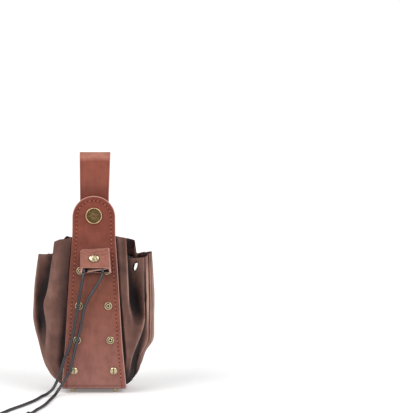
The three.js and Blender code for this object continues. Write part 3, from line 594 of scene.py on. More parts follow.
def strap_mesh(name, profile, stations, thick, edge, shift_at=lambda s: 0.0,
               edge_wear_and_shade_at=lambda x, s: 1.0):
    """A leather strap with rounded edges that follows a side profile. Its rows hold the place
    across and along, the depth under the face, and how much of a cut edge each point is."""
    across = [-share for share in ACROSS[:0:-1]] + list(ACROSS)
    wide, last = len(across), len(stations) - 1
    flat, sides = [], {}
    for i, (s, half, nx, ns) in enumerate(stations):
        flat += [((half - edge * nx) * share, s - edge * ns) for share in across]
        if i in (0, last):
            sides |= {i * wide + j: (0.0, 1.0 if i else -1.0) for j in range(wide)}
        sides |= {i * wide: (-nx, ns), (i + 1) * wide - 1: (nx, ns)}
    size, (cells, rim) = len(flat), patch(wide, len(stations))
    inset = border_distance(np.array(flat), np.array([flat[k] for k in rim])) + edge
    rows = [(x, s, 0.0, FACE_WEAR * (gap <= edge + 0.01)) for (x, s), gap in zip(flat, inset)]
    quarter = [k * math.pi / 2 / EDGE_STEPS for k in range(EDGE_STEPS + 1)]
    arcs = [(angle, 0.0) for angle in quarter[1:]]
    arcs += [(math.pi / 2 + angle, thick - 2 * edge) for angle in quarter[:-1]]
    rings = [rim]
    for angle, lower in arcs:
        rings.append([len(rows) + k for k in range(len(rim))])
        out, depth = edge * math.sin(angle), lower + edge * (1 - math.cos(angle))
        rows += [(flat[k][0] + sides[k][0] * out, flat[k][1] + sides[k][1] * out, depth,
                  math.sin(angle)) for k in rim]
    rings.append([len(rows) + k for k in rim])
    faces = [(b, c, d, a) for a, b, c, d in cells]
    faces += [(b[k], b[n], a[n], a[k])
              for a, b in zip(rings, rings[1:]) for k, n in around(len(rim))]
    faces += [tuple(len(rows) + k for k in cell[::-1]) for cell in cells]
    rows += [(x, s, thick, 0.0) for x, s in flat]
    border = np.r_[inset, np.zeros(len(rows) - 2 * size), inset] / BORDER_REACH
    return mend(smooth_mesh(
        name, [(x + shift_at(s), *profile.place(s, depth)) for x, s, depth, _ in rows], faces,
        cut=[cut * edge_wear_and_shade_at(x, s) for x, s, _, cut in rows], border=np.clip(border, 0, 1)))


# ---- Operators ----
def hex_colour(name, description, code):
    return bpy.props.FloatVectorProperty(
        name=name, description=description, subtype="COLOR", size=4, min=0.0, max=1.0,
        default=linear(code))


def length_value(name, description, millimetres):
    return bpy.props.FloatProperty(
        name=name, description=description, default=millimetres * MM, unit="LENGTH", precision=5)


class PouchSizes(bpy.types.PropertyGroup):
    """Sizes that a user would change."""

    stitch_pitch: length_value("Stitch pitch", "From one stitch to the next", 3.7)
    stitch_inset: length_value("Stitch inset", "From the strip's edge to the stitches", 4.0)
    stitch_long: length_value("Stitch length", "Length of one stitch", 2.5)
    thread: length_value("Thread", "Diameter of the thread", 0.75)
    edge_round: length_value("Edge round", "Radius of the strip's edges", 0.7)
    cord: length_value("Cord", "Diameter of the drawstring", 2 * CORD_RADIUS)
    camera_away: length_value("Camera distance", "From the camera to the view's middle", 5000.0)


class PouchColours(bpy.types.PropertyGroup):
    """Colours that a user would change."""

    cut_edge: hex_colour("Cut edge", "Rubbed edges of the straps", "#BE968A")
    brass: hex_colour("Brass", "Bright places of the rivets", "#CFC09C")
    tarnish: hex_colour("Tarnish", "Dark recesses of the rivets", "#3A2E1C")
    daylight: hex_colour("Light", "Colour of the studio light", "#FFFFFF")


class PouchOperator(bpy.types.Operator):
    bl_options = {"REGISTER", "UNDO"}


VIEW_MIDDLE = Vector((0.0959, -0.028, 0.1716))  # middle of the view, right of the pouch
VIEW_RISE = math.radians(8.0)
VIEW_WIDE = 0.36  # width of the view at its middle
SENSOR = 36.0
FLOOR_HALF = 24000.0
SKY_LIGHT = 0.57  # strength of the even light from all round
# Name, azimuth and elevation in degrees from the front, spread in degrees, and strength.
SOFTBOXES = [("key", -48, 38, 40, 1.38), ("fill", 46, 36, 40, 1.2)]


class POUCH_OT_stage(PouchOperator):
    """Makes the camera, the floor and the studio light"""

    bl_idname = "pouch.stage"
    bl_label = "Stage"

    def execute(self, context):
        scene = context.scene
        away = scene.pouch_sizes.camera_away
        data = bpy.data.cameras.new("camera")
        data.sensor_width = SENSOR
        data.sensor_fit = "HORIZONTAL"
        data.lens = SENSOR * away / VIEW_WIDE
        data.clip_end = 60.0
        scene.camera = new_object(data)
        scene.camera.location = VIEW_MIDDLE + away * Vector(
            (0.0, -math.cos(VIEW_RISE), math.sin(VIEW_RISE)))
        scene.camera.rotation_euler = (math.pi / 2 - VIEW_RISE, 0.0, 0.0)

        floor = smooth_mesh("floor", [(x * FLOOR_HALF, y * FLOOR_HALF, 0) for x, y in (
            (-1, -1), (1, -1), (1, 1), (-1, 1))], [(0, 1, 2, 3)])
        # Seamless white paper, matt and even, lit a little from behind so that shadows stay pale.
        floor.materials.append(plain_finish(
            "studio_paper", 60.0, 2.0, [(0.0, "#F6F6F6"), (1.0, "#FBFBFB")],
            {"Roughness": 0.9, "Emission Color": "#FFFFFF", "Emission Strength": 0.16}))
        new_object(floor)

        scene.world = bpy.data.worlds.new("studio")
        scene.world.use_nodes = True
        back = scene.world.node_tree.nodes["Background"]
        back.inputs["Color"].default_value = scene.pouch_colours.daylight
        back.inputs["Strength"].default_value = SKY_LIGHT
        scene.view_settings.view_transform = "Standard"
        for name, azimuth, elevation, spread, strength in SOFTBOXES:
            light = bpy.data.lights.new(name, "SUN")
            light.angle = math.radians(spread)
            light.energy = strength
            new_object(light).rotation_euler = (
                math.radians(90 - elevation), 0.0, math.radians(azimuth))
        return {"FINISHED"}


# ---- Cords ----
PANEL_SEAT = front_profile.at_height(KEEPER["top"] - KEEPER["long"] * 0.95 / 2)
KEEPER_AT = np.r_[0, front_profile.point(front_profile.at_height(KEEPER["top"]))]
KEEPER_OUT = np.r_[0, front_profile.normal(PANEL_SEAT)]
KEEPER_DOWN = np.cross((1, 0, 0), KEEPER_OUT)


def keeper_point(x, depth, along):
    """A point by its x, its depth over the panel and its distance down from the top edge."""
    return KEEPER_AT + np.array([x, 0, 0]) + KEEPER_OUT * depth + KEEPER_DOWN * along


END = KEEPER["long"]
DRAWSTRING = [
    keeper_point(-8.8, CHANNEL, END - CORD_MEET), keeper_point(-8.7, CHANNEL, 14),
    keeper_point(-8.5, CHANNEL, 9.5), keeper_point(-8.5, CHANNEL - 1.6, 5.6),
    keeper_point(-8.5, 0, 4.2), keeper_point(-9, -6, 4.4),
    (-14, -12.4, 124.4), (-22, -13.2, 121.6), (-31, -13.6, 117.5), (-36.2, -11.2, 115),
    (-38.2, -5.5, 114), (-41, 1.5, 114), (-41.8, 8, 114.5), (-39.5, 13.6, 115.5),
    (-33, 14.6, 118), (-25, 14.8, 121), (-13, 15.8, 124), (0, 16, 125),
    (13, 15.6, 123.5), (25, 14.6, 120.5), (34, 13.6, 118.6), (40.4, 11.4, 118.2),
    (43.4, 6.8, 117.8), (41.6, 2.2, 117.4), (36, 0.4, 117), (30.6, -1.8, 117.2),
    (26.4, -7, 120.4), (22, -11.8, 122.6), (14, -12.4, 124.4),
    keeper_point(9, -6, 4.4), keeper_point(8.5, 0, 4.2), keeper_point(8.5, CHANNEL - 1.6, 5.6),
    keeper_point(8.5, CHANNEL, 9.5), keeper_point(8.4, CHANNEL, 14),
    keeper_point(8.3, CHANNEL, END - CORD_MEET),
]
CORDS = {
    "left": [
        keeper_point(-8.8, CHANNEL, END + CORD_MEET),
        (-9.6, -34.4, 107.4), (-11.4, -35.6, 98), (-13.1, -36.6, 88), (-15, -37.4, 76),
        (-17.2, -37.6, 64), (-19.9, -37, 51), (-23.2, -35.8, 41), (-26.8, -34.4, 32.5),
        (-29, -33.4, 23.5), (-32.6, -33.2, 14.5), (-37.2, -34.2, 6), (-42, -37.4, 2.2),
        (-46.4, -45, GROUND), (-51.6, -64.5, GROUND), (-61.7, -90.2, GROUND),
        (-73.3, -115.6, GROUND), (-79.2, -131, GROUND), (-82.6, -141.5, 1.9),
    ],
    "right": [
        keeper_point(8.3, CHANNEL, END + CORD_MEET),
        (6.7, -34.4, 107.4), (0.6, -35.6, 97), (-4.6, -36.8, 88.5), (-8.2, -37.4, 80),
        (-10.8, -37.6, 67), (-14.7, -37.2, 51), (-17.3, -36, 40.5), (-18.9, -35, 32.5),
        (-21, -34, 23.5), (-26, -33.8, 14.5), (-31.2, -35.4, 6.4), (-34.6, -40.4, 2),
        (-36.6, -50, GROUND), (-38.8, -64.5, GROUND), (-43.2, -92, GROUND),
        (-49.5, -115.6, GROUND), (-52.8, -131, GROUND), (-54.6, -141.5, 1.9),
    ],
}
# A real braid has more and finer strands: these are as coarse as they need to be to show.
BRAID_PITCH = 9.0  # length in which a strand goes once round
STRANDS = 4
STRAND_HIGH = 0.42  # how far the strands stand over the crossings
CROWN_PROUD = 0.2  # how far the strands' crowns stand over the cord's radius
KNOT = (3.4, 0.78, 0.95, 1.15)  # how far on a knot is, and its size across, along and up


def braid(run, angle):
    """How high the braid stands at a place, from 0 in a crossing to 1 on a strand's crown."""
    turn = 2 * math.pi * run / BRAID_PITCH
    over, under = (abs(np.cos(STRANDS / 2 * (angle + way * turn))) for way in (1, -1))
    return np.maximum(over, under) ** 2.2


def cord_mesh(name, points, radius, sides=12, step=0.55):
    """A braided cord round a path, with closed ends. Its rings turn as little as they can."""
    path = even_path(points, step)
    along = unit(np.gradient(path, axis=0))
    angles = 2 * math.pi * np.arange(sides) / sides
    reach = radius + CROWN_PROUD - STRAND_HIGH * (1 - braid(runs(path)[:, None], angles))
    side = np.cross(along[0], (0.0, 0.0, 1.0))
    rings = []
    for place, way, far in zip(path, along, reach):
        side = unit(side - way * (way @ side))
        across, up = np.outer(np.cos(angles), side), np.outer(np.sin(angles), np.cross(side, way))
        rings.append(place + far[:, None] * (across + up))
    size = len(path) * sides
    crown = braid(np.arange(len(path))[:, None] * step, angles)
    faces = [(k + i, k + j, k + sides + j, k + sides + i)
             for k in range(0, size - sides, sides) for i, j in around(sides)]
    faces += [(size, j, i) for i, j in around(sides)]
    faces += [(size - sides + i, size - sides + j, size + 1) for i, j in around(sides)]
    ends = [ring.mean(axis=0) for ring in (rings[0], rings[-1])]
    return smooth_mesh(name, np.vstack(rings + [ends]), faces, crown=np.r_[crown.ravel(), 0, 0])


def knot_path(end, along):
    """An overhand knot as a small closed trefoil, lying on the ground past a cord's end."""
    ahead, across, long_, high = KNOT
    t = np.linspace(0, 2 * math.pi, 26)[:-1, None]
    points = end + along * ahead + across * (np.sin(t) + 2 * np.sin(2 * t)) * np.cross(
        along, (0, 0, 1)) + long_ * (np.cos(t) - 2 * np.cos(2 * t)) * along
    points[:, 2] -= high * np.sin(3 * t[:, 0])
    points[:, 2] += GROUND - points[:, 2].min()
    return np.vstack([points, points[:1]])


class POUCH_OT_cords(PouchOperator):
    """Makes the two free cords with their knots, and the drawstring round the mouth"""

    bl_idname = "pouch.cords"
    bl_label = "Cords"

    def execute(self, context):
        radius = context.scene.pouch_sizes.cord / 2 / MM
        # Waxed polyester braid: dark grey, with a dull shine, and a painted highlight on the crown
        # of each strand.
        material = plain_finish(
            "braided_cord", 1.1, 4.0, [(0.25, "#040405"), (0.7, "#0E0E10"), (1.0, "#424146")],
            {"Roughness": 0.3, "Specular IOR Level": 0.5}, crown=True)
        for side, route in CORDS.items():
            cord = add_piece(cord_mesh(f"cord_{side}_braid", route, radius), material, "cord",
                             f"cord_{side}")
            along = unit((np.array(route[-1]) - route[-2]) * (1, 1, 0))
            knot = add_piece(cord_mesh(f"knot_{side}_tied", knot_path(route[-1], along), radius),
                             material, "cord", f"knot_{side}")
        add_piece(cord_mesh("drawstring_braid", DRAWSTRING, radius, sides=10, step=0.7),
                  material, "cord", "drawstring")
        return {"FINISHED"}


# ---- Suede bag ----
THIN = 0.12  # the least thickness of the wall, where the inside of a fold has no room for more
ROOM_SHARE = 0.42  # the share that a wall may take of the room inside a fold
# Tones on the same painted scale: under the floor, on the lip, painted shade on the inside, and
# painted light on the lit place inside.
BOTTOM_TONE, LIP_TONE, INNER_SHADE_TONE, LIT_INSIDE_TONE = 0.3, 0.6, 0.28, 0.55
RIDGE_LOW, RIDGE_REACH = 0.12, 0.4  # from which height a ridge is paler, rubbed and painted as a highlight, and till it is fully
REST = 4.0  # how near a panel a place behind it has to be to lie flat against it
# Long and fine wrinkles: their height, how wide and how long they are, and where they start.
WRINKLES = [(0.32, 7.5, 26.0, 0), (0.12, 3.4, 9.0, 9)]
WRINKLE_CLEAR, WRINKLE_FULL = 1.0, 7.0  # how far beside a panel they start, and are full


def wall_behind(profile, z):
    """The depth at which the bag lies against the inside of a panel."""
    s = profile.at_height(z)
    ny = profile.normal(s)[0]
    return profile.point(s)[0] - math.copysign(STRIP_THICK + SEAT, ny) / abs(ny)


def behind_strip(profile, side, top, limit):
    """A row of the bag that lies flat behind a panel, beside its left or right edge."""
    places = [(side * (between(STRIP_WIDTH, z) - UNDER_STRIP), wall_behind(profile, z))
              for z in (min(top, limit), CHEST_Z, WAIST_Z, BELLY_Z, HIP_Z)]
    return (top, 0.2, *places, "22222")


BAG_ROWS = (LEFT_FOLDS + [behind_strip(back_profile, side, RIM_BACK, BACK_TOP) for side in (-1, 1)]
            + RIGHT_FOLDS
            + [behind_strip(front_profile, side, RIM_FRONT, RIM_FRONT) for side in (1, -1)])


def crease_curve(row, shares):
    """A row's places from the foot to the rim, with its tone of painted shade and light."""
    top, _, rim, chest, waist, belly, hip, tones = row
    at_rim, at_chest, at_waist, at_belly, at_hip, at_foot = (
        int(tone) / 9 for tone in (tones + tones[-1])[:6])
    half_x, half_y, power = FOOT_OVAL
    foot = np.array(hip) / ((abs(hip[0]) / half_x) ** power
                            + (abs(hip[1]) / half_y) ** power) ** (1 / power)
    heel = foot + (np.array(hip) - foot) * HEEL_SHARE
    keys = [(*foot, FOOT_Z, at_foot), (*heel, HEEL_Z, (2 * at_foot + at_hip) / 3),
            (*hip, HIP_Z, at_hip), (*belly, BELLY_Z, at_belly), (*waist, WAIST_Z, at_waist),
            (*chest, CHEST_Z, at_chest), (*rim, top, at_rim)]
    if belly[0] > SAG_FROM:
        keys.insert(3, (belly[0] * SAG_SHARE, (belly[1] + hip[1]) / 2, SAG_Z,
                        (at_belly + at_hip) / 2))
    return spline(keys, shares)


def settle(ring):
    """Keeps a ring behind the panels: flat against them, and never through them."""
    for point in ring:
        back = point[1] >= 0
        profile, z = (back_profile, min(point[2], BACK_TOP)) if back else (front_profile, point[2])
        wall = wall_behind(profile, z)
        beyond = abs(point[0]) - between(STRIP_WIDTH, z)
        if beyond < -UNDER_STRIP / 2 and abs(point[1]) > abs(wall) - REST:
            point[1] = wall
        elif beyond < BESIDE:
            point[1] = math.copysign(min(abs(point[1]), abs(wall)), point[1])
    return ring


def grid_normals(grid):
    """Outward normals of a closed ring grid (level, place round it, xyz)."""
    return unit(np.cross(np.gradient(grid, axis=0),
                         np.roll(grid, -1, axis=1) - np.roll(grid, 1, axis=1)))


def wall_room(grid, normals):
    """The wall's thickness at each point, less where the inside of a sharp fold has no room."""
    count = grid.shape[1]
    away = np.abs(np.arange(count)[:, None] - np.arange(count))
    beside = np.minimum(away, count - away) < 3
    room = np.empty(grid.shape[:2])
    for j, (ring, outwards) in enumerate(zip(grid, normals)):
        to = ring[None, :, :] - ring[:, None, :]
        far = np.linalg.norm(to, axis=2)
        inside = -np.einsum("ikc,ic->ik", to, outwards)
        ahead = inside >= 0.5 * far  # within 60 degrees of straight in
        room[j] = np.where(ahead & ~beside, far, np.inf).min(axis=1)
    room = np.minimum(SUEDE_THICK, ROOM_SHARE * room)
    for shift in (1, -1, 2, -2):
        room = np.minimum(room, np.roll(room, shift, axis=1) + THIN)
    return np.maximum(room, THIN)


def inner_shade(ring):
    """The inside is darkened with painted shade, but for a place at the right with painted light.
    """
    x, y, z = ring.T
    # Painted light on the lit place on the inside of the back wall.
    rubbed = bump((x - LIT_INSIDE["x"], LIT_INSIDE["wide"]), (z - LIT_INSIDE["z"], LIT_INSIDE["high"]))
    return INNER_SHADE_TONE + LIT_INSIDE_TONE * rubbed * (y > 0)


def punched(point):
    """How far a point lies from the axis of the punched holes, 1 at their edge, and the place
    on that edge beside it."""
    x, y, z = point
    middle = PUNCH["x"] + PUNCH["aside"] * (y > 0)
    rise = z - (PUNCH["z"] - y * PUNCH["fall"])
    aside = x - middle - rise * PUNCH["lean"]
    share = math.hypot(aside / PUNCH["half"], rise / PUNCH["high"])
    edge = (middle + (rise * PUNCH["lean"] + aside) / share, y, z + rise / share - rise)
    return (share if y >= PUNCH["from"] else math.inf), edge


def wrinkles(x, y, z):
    """How high the small creases are that run down the leather. They fade beside the panels."""
    clear = np.interp(abs(x) - between(STRIP_WIDTH, z), (WRINKLE_CLEAR, WRINKLE_FULL), (0, 1))
    return clear * sum(high * noise.noise(Vector((x / wide + start, y / wide, z / long_)))
                       for high, wide, long_, start in WRINKLES)


class POUCH_OT_bag(PouchOperator):
    """Makes the gathered suede bag"""

    bl_idname = "pouch.bag"
    bl_label = "Suede bag"

    def execute(self, context):
        add_piece(self.mesh(), suede_leather("split_suede"), "suede", "suede_bag")
        return {"FINISHED"}

    def outside(self):
        """The bag's outer face as a grid of places from the foot to the rim, and its tones of
        painted shade and light.
        """
        creases = np.array([crease_curve(row, np.linspace(0, 1, LEVELS + 1)) for row in BAG_ROWS])
        grid = np.array([settle(rounded(creases[:, j], RING_STEPS, [row[1] for row in BAG_ROWS]))
                         for j in range(LEVELS + 1)])
        outer, tone = grid[:, :, :3], np.clip(grid[:, :, 3], 0, 1)
        front = outer[:, :, 1] < 0
        for x, z, wide, high, depth in DENTS:
            near = bump((outer[:, :, 0] - x, wide), (outer[:, :, 2] - z, high))
            outer[:, :, 1] += np.where(front, depth * near, 0)
        proud = np.array([[wrinkles(*point) for point in ring] for ring in outer])
        return outer + grid_normals(outer) * proud[:, :, None], tone

    def mesh(self):
        outer, tone = self.outside()
        normals = grid_normals(outer)
        inner = outer - normals * wall_room(outer, normals)[:, :, None]
        mean = (np.roll(outer, -2, axis=1) + np.roll(outer, 2, axis=1)) / 2
        ridge = np.einsum("jkc,jkc->jk", outer - mean, normals)
        ridge = np.clip((ridge - RIDGE_LOW) / RIDGE_REACH, 0, 1)
        count = outer.shape[1]
        flat = [np.column_stack([ring[:, :2] * FLOOR_SHARE, np.full(count, z)])
                for ring, z in ((outer[0], FLOOR_Z), (inner[0], FLOOR_Z + SUEDE_THICK))]
        lip = (outer[-1] + inner[-1]) / 2 + np.array([0, 0, SUEDE_THICK * LIP_RISE])
        # Rings from under the floor up the outside, over the lip and down the inside.
        rings = [flat[0], *outer, lip, *inner[::-1], flat[1]]
        tones = [np.full(count, BOTTOM_TONE), *tone, np.full(count, LIP_TONE),
                 *map(inner_shade, inner[::-1]), np.full(count, BOTTOM_TONE / 2)]
        last = len(rings) - 2
        holes = {(j, k) for j in range(LEVELS) for k, n in around(count)
                 if punched((outer[j, k] + outer[j + 1, n]) / 2)[0] < 1}
        faces = []
        for row in range(len(rings) - 1):
            level, a = row - 1 if row <= LEVELS else last - row - 1, row * count
            faces += [(a + k, a + count + k, a + count + n, a + n)
                      for k, n in around(count) if (level, k) not in holes]
        rims = set()
        for j, k in holes:
            n = (k + 1) % count
            corners = [(j, k), (j + 1, k), (j + 1, n), (j, n)]
            beside = [(j, (k - 1) % count), (j + 1, k), (j, n), (j - 1, k)]
            for (u, v), cell in zip(around(4), beside):
                if cell not in holes:
                    (ju, ku), (jv, kv) = corners[u], corners[v]
                    wall = ((1 + ju) * count + ku, (1 + jv) * count + kv,
                            (last - jv) * count + kv, (last - ju) * count + ku)
                    faces.append(wall)
                    rims.update(wall)
        points = np.vstack(rings + [[(0, 0, FLOOR_Z), (0, 0, FLOOR_Z + SUEDE_THICK)]])
        for k in rims:
            points[k] = punched(points[k])[1]
        under, over, top = len(points) - 2, len(points) - 1, (len(rings) - 1) * count
        faces += [(under, k, n) for k, n in around(count)]
        faces += [(over, top + n, top + k) for k, n in around(count)]
        ridges = np.zeros(len(points))
        ridges[count:count + outer[:, :, 0].size] = ridge.ravel()
        return smooth_mesh("suede_bag_folds", points, faces, ridge=ridges,
                           tone=np.r_[np.concatenate(tones), BOTTOM_TONE, BOTTOM_TONE])


# ---- Leather pieces ----
# Tones of the straps by their share of the whole height, with painted light and shade: a
# painted highlight between bands of painted shade at the base's bend, a paler lower panel as
# painted light from the floor, a darker band just above the tab as painted shade, and a painted
# highlight along the loop's top fold. The panel is darker higher up.
STRAP_TONES_AND_SHADE = [(0.0, "#6E4339"), (0.004, "#6E4339"), (0.009, "#B08378"), (0.013, "#6B3F36"),
               (0.02, "#8F6158"), (0.2, "#87564C"), (0.4, "#794739"), (0.5, "#6E3F34"),
               (0.62, "#773E31"), (0.81, "#7C3E31"), (0.835, "#733D31"), (0.88, "#82483A"),
               (0.965, "#86493A"), (0.985, "#A87060")]


# The lengths along the strip between which its left cut edge is darkened with painted shade
# beside the bag, each with its reach.
EDGE_SHADE_FROM, EDGE_SHADE_TO = (40, 6), (148, 5)
EDGE_SHADE = 0.8


def strip_edge_wear_and_shade(x, s):
    """How pale the strip's cut edge is: the left one is darkened with painted shade beside the bag.
    """
    above, below = (math.tanh((s - at) / reach) for at, reach in (EDGE_SHADE_FROM, EDGE_SHADE_TO))
    return 1 - EDGE_SHADE * (above - below) / 2 * (x < 0)


class POUCH_OT_straps(PouchOperator):
    """Makes the centre strip and the belt loop"""

    bl_idname = "pouch.straps"
    bl_label = "Straps"

    def execute(self, context):
        sizes, cut_edge = context.scene.pouch_sizes, context.scene.pouch_colours.cut_edge
        half = lambda s: between(STRIP_WIDTH, strip_profile.point(s)[1])
        stations = strap_stations(strip_profile.length, half, (TAB_HALF, 22), (BACK_ROUND, 10), 2.2)
        strip = strap_mesh("strip_leather", strip_profile, stations, STRIP_THICK,
                           sizes.edge_round / MM, edge_wear_and_shade_at=strip_edge_wear_and_shade)
        add_piece(strip, bridle_leather("sewn_bridle_leather", STRAP_TONES_AND_SHADE, cut_edge,
                                        seam=sizes.stitch_inset / MM),
                  "strap_leather", "centre_strip")

        profile = self.loop_profile()
        column = lambda k: lambda s: between(LOOP_WIDTH, profile.point(s)[1], k)
        stations = strap_stations(profile.length, column(1), (1.0, 3), (LOOP_ROUND, 8), 1.8)
        loop = strap_mesh("loop_leather", profile, stations, LOOP_THICK, 0.6, shift_at=column(2))
        add_piece(loop, bridle_leather("bridle_leather", STRAP_TONES_AND_SHADE, cut_edge),
                  "strap_leather", "belt_loop")
        return {"FINISHED"}

    def loop_profile(self):
        """Up over the back panel, round the fold and down behind the tab."""
        fold_z = LOOP_TOP - LOOP_FOLD
        on_panel = [tuple(back_profile.place(back_profile.at_height(z), -(GAP + LOOP_THICK)))
                    for z in np.linspace(LOOP_START, LOOP_LEAVES, 6)]
        rise = spline(on_panel + LOOP_RISE + [(LOOP_Y + LOOP_FOLD, fold_z)],
                      np.linspace(0, 1, 150))
        angles = np.linspace(0, math.pi, 40)
        fold = np.column_stack([LOOP_Y + LOOP_FOLD * np.cos(angles),
                                fold_z + LOOP_FOLD * np.sin(angles)])
        leg = [(LOOP_Y - LOOP_FOLD, z) for z in np.linspace(fold_z, LOOP_END, 30)]
        return Profile(rise, fold, leg)


# The keeper's inner end as (x, length, depth) at its left and right, with its steps across and
# along, its start and its thickness.
TONGUE = {"left": (-7.2, 21.0, 4.2), "right": (11.8, 18.2, 6.5), "across": 14, "along": 5,
          "start": 10, "thick": 0.7}
SIDE_HIGHLIGHT = 0.6  # how far in from the keeper's sides it has a painted highlight, and how far round
RIM_CUT = 0.7  # how much of a cut edge the keeper's open ends show
SHADE = 0.28  # how dark the painted shade in its creases is
FLATTER = 0.4  # how much smaller its section's corners are than half its depth
BACK_START, BACK_SHORT, FRONT_SHORT = 9.0, 0.45, 4.0  # how far from its ends its walls stop
TOP_SLANT, END_SLANT = 0.85, 0.25  # how far its ends rise to the right
CORNER_CUT, LIFTED = (1.3, 1.4), (2.6, 5.0)  # its top left corner, with how far each reaches
BENT_IN = (1.6, 2.6)
PRESSED, PRESS_WIDE, PRESS_HIGH = 0.7, 5.0, 4.4  # how deep and how far round its rivet
BULGE, BULGE_AT, BULGE_REACH = 0.35, 9, 4
NARROW, WIDENS = 0.9, 0.13  # how wide its right half is at the top, and how much more below
CREASE_DEEP = 0.45
# The creases round the rivet: how close they are, how they fan out, how far and how often they
# sway, from which height of the wave they show, and where they are along, with their reach.
CREASES = {"close": 1.9, "fan": 0.26, "sway": 1.2, "often": 0.45, "from": 0.2, "at": 3.6,
           "reach": 4.2}


class POUCH_OT_keeper(PouchOperator):
    """Makes the leather keeper that the cords run through"""

    bl_idname = "pouch.keeper"
    bl_label = "Keeper"

    def execute(self, context):
        leather = bridle_leather("keeper_leather", [(0.0, "#8F5C4F"), (1.0, "#935F52")], "#C79B8F",
                                 cloud_mm=4.0, grain_mm=1.1, roughness=0.55)
        add_piece(self.mesh(), leather, "keeper_leather", "cord_keeper")
        return {"FINISHED"}

    def outline(self, steps=7, flats=26):
        """The keeper's section as (x, depth from its middle) rows, from its lower right."""
        radius = KEEPER["deep"] / 2 - FLATTER
        x, d = KEEPER["half"] - radius, KEEPER["deep"] / 2 - radius
        shares = np.arange(1, flats)[:, None] / flats
        corners = []
        for cx, cy, start in ((x, -d, -90), (x, d, 0), (-x, d, 90), (-x, -d, 180)):
            angles = np.radians(np.linspace(start, start + 90, steps + 1))
            corners.append(np.column_stack([cx + radius * np.cos(angles),
                                            cy + radius * np.sin(angles)]))
        front, back = (corners[a][-1] * (1 - shares) + corners[b][0] * shares
                       for a, b in ((1, 2), (3, 0)))
        return np.vstack([*corners[:2], front, *corners[2:], back])

    def shaped(self, x, d, share):
        """Where a point of the section goes: the front wall is short at the bottom and pinched
        by the rivet, the back wall starts under the entry and ends on a slant."""
        half, long_, mid = KEEPER["half"], KEEPER["long"], KEEPER["deep"] / 2
        front, back = np.clip(d / mid, 0, 1), np.clip(-1.6 * d / mid, 0, 1)
        # Its top left corner is rounded, its top rises to the right, and its bottom is slanted.
        corner = CORNER_CUT[0] * bump((x + half, CORNER_CUT[1]))
        start = BACK_START * back + (corner - TOP_SLANT * x / half) * (1 - back)
        stop = long_ - FRONT_SHORT * front**2 - back * (BACK_SHORT + END_SLANT * x / half)
        along = start + (stop - start) * share
        # The rivet presses the wall in, the top bends in too but for the lifted left corner, and
        # the cords make the wall bulge at both sides.
        rivet = bump((x + KEEPER["x"] - KEEPER_RIVET["x"], PRESS_WIDE),
                     (along - KEEPER_RIVET["along"], PRESS_HIGH))
        bent = BENT_IN[0] - LIFTED[0] * bump((x + half, LIFTED[1]))
        bulge = BULGE * bump((abs(x) - BULGE_AT, BULGE_REACH)) * share
        depth = d + front * (bulge - CREASE_DEEP * self.crease(x, along) - PRESSED * rivet
                             - bent * bump((along, BENT_IN[1])))
        wide = x * (NARROW + WIDENS * along / long_) if x > 0 else x
        return np.array([wide + KEEPER["x"], depth + CHANNEL, along])

    def crease(self, x, along):
        """How deep a crease of the front wall is, from 0 to 1: they gather round the rivet."""
        sway = CREASES["sway"] * math.sin(CREASES["often"] * x + 1)
        wave = math.sin(CREASES["close"] * (along + CREASES["fan"] * abs(x + 1)) + sway)
        high = max(0.0, wave - CREASES["from"]) / (1 - CREASES["from"])
        return high * bump((along - CREASES["at"], CREASES["reach"]))

    def walls(self):
        """Points (place, cut, flesh) and faces of the folded leather: down its outer face and
        back up its inner one. Its inner face and the creases of its front get painted shade."""
        outline = self.outline()
        tangent = unit(np.roll(outline, -1, axis=0) - np.roll(outline, 1, axis=0))
        inwards = np.column_stack([-tangent[:, 1], tangent[:, 0]]) * KEEPER["wall"]
        shares = np.r_[0, 0.012, np.linspace(0.03, 0.97, 44), 0.988, 1]
        rows = []
        for wall, share in [(0, at) for at in shares] + [(1, at) for at in shares[::-1]]:
            open_end = share in (0, 1)
            for (x, d), inward in zip(outline, inwards):
                near = self.shaped(x, d, share) + wall * np.r_[inward, 0]
                # A painted highlight along the front's rounded sides, stronger at the right.
                wear_and_painted_light = bump((abs(x) - KEEPER["half"] + SIDE_HIGHLIGHT, SIDE_HIGHLIGHT)) / (2 if x > 0 else 4)
                wear_and_painted_light *= (d > 0) * (1 - wall)
                # Painted shade: all over the inner face, and in the front's creases.
                shade = 1.0 if wall else SHADE * self.crease(x, near[2]) * (d > 1)
                cut, flesh = (RIM_CUT, 0.0) if open_end else (wear_and_painted_light, shade)
                rows.append((keeper_point(*near), cut, flesh))
        size = len(outline)
        return rows, [(a * size + k, a * size + n, b * size + n, b * size + k)
                      for a, b in around(2 * len(shares)) for k, n in around(size)]

    def tongue(self, first):
        """Points and faces of the leather's end, rolled in between the walls on a slant."""
        columns, steps = TONGUE["across"], TONGUE["along"]
        (cells, rim), size = patch(columns + 1, steps + 1), (columns + 1) * (steps + 1)
        rows = []
        for side in (0, 1):
            for j in range(steps + 1):
                for share in np.arange(columns + 1) / columns:
                    x, low, depth = (np.array(TONGUE["left"]) * (1 - share)
                                     + np.array(TONGUE["right"]) * share)
                    along = TONGUE["start"] + (low - TONGUE["start"]) * j / steps
                    place = keeper_point(x + KEEPER["x"], depth + side * TONGUE["thick"], along)
                    # The rolled end's face gets painted shade, and its edge a cut edge.
                    rows.append((place, RIM_CUT * (j == steps), 0.8 * (j < steps)))
        faces = cells + [(size + a, size + d, size + c, size + b) for a, b, c, d in cells]
        faces += [(rim[n], rim[k], size + rim[k], size + rim[n]) for k, n in around(len(rim))]
        return rows, [tuple(first + k for k in face) for face in faces]

    def mesh(self):
        rows, faces = self.walls()
        more_rows, more_faces = self.tongue(len(rows))
        places, cut, flesh = zip(*rows, *more_rows)
        return mend(smooth_mesh("keeper_fold", places, faces + more_faces, cut=cut, flesh=flesh,
                                border=np.ones(len(places))), turn=True)


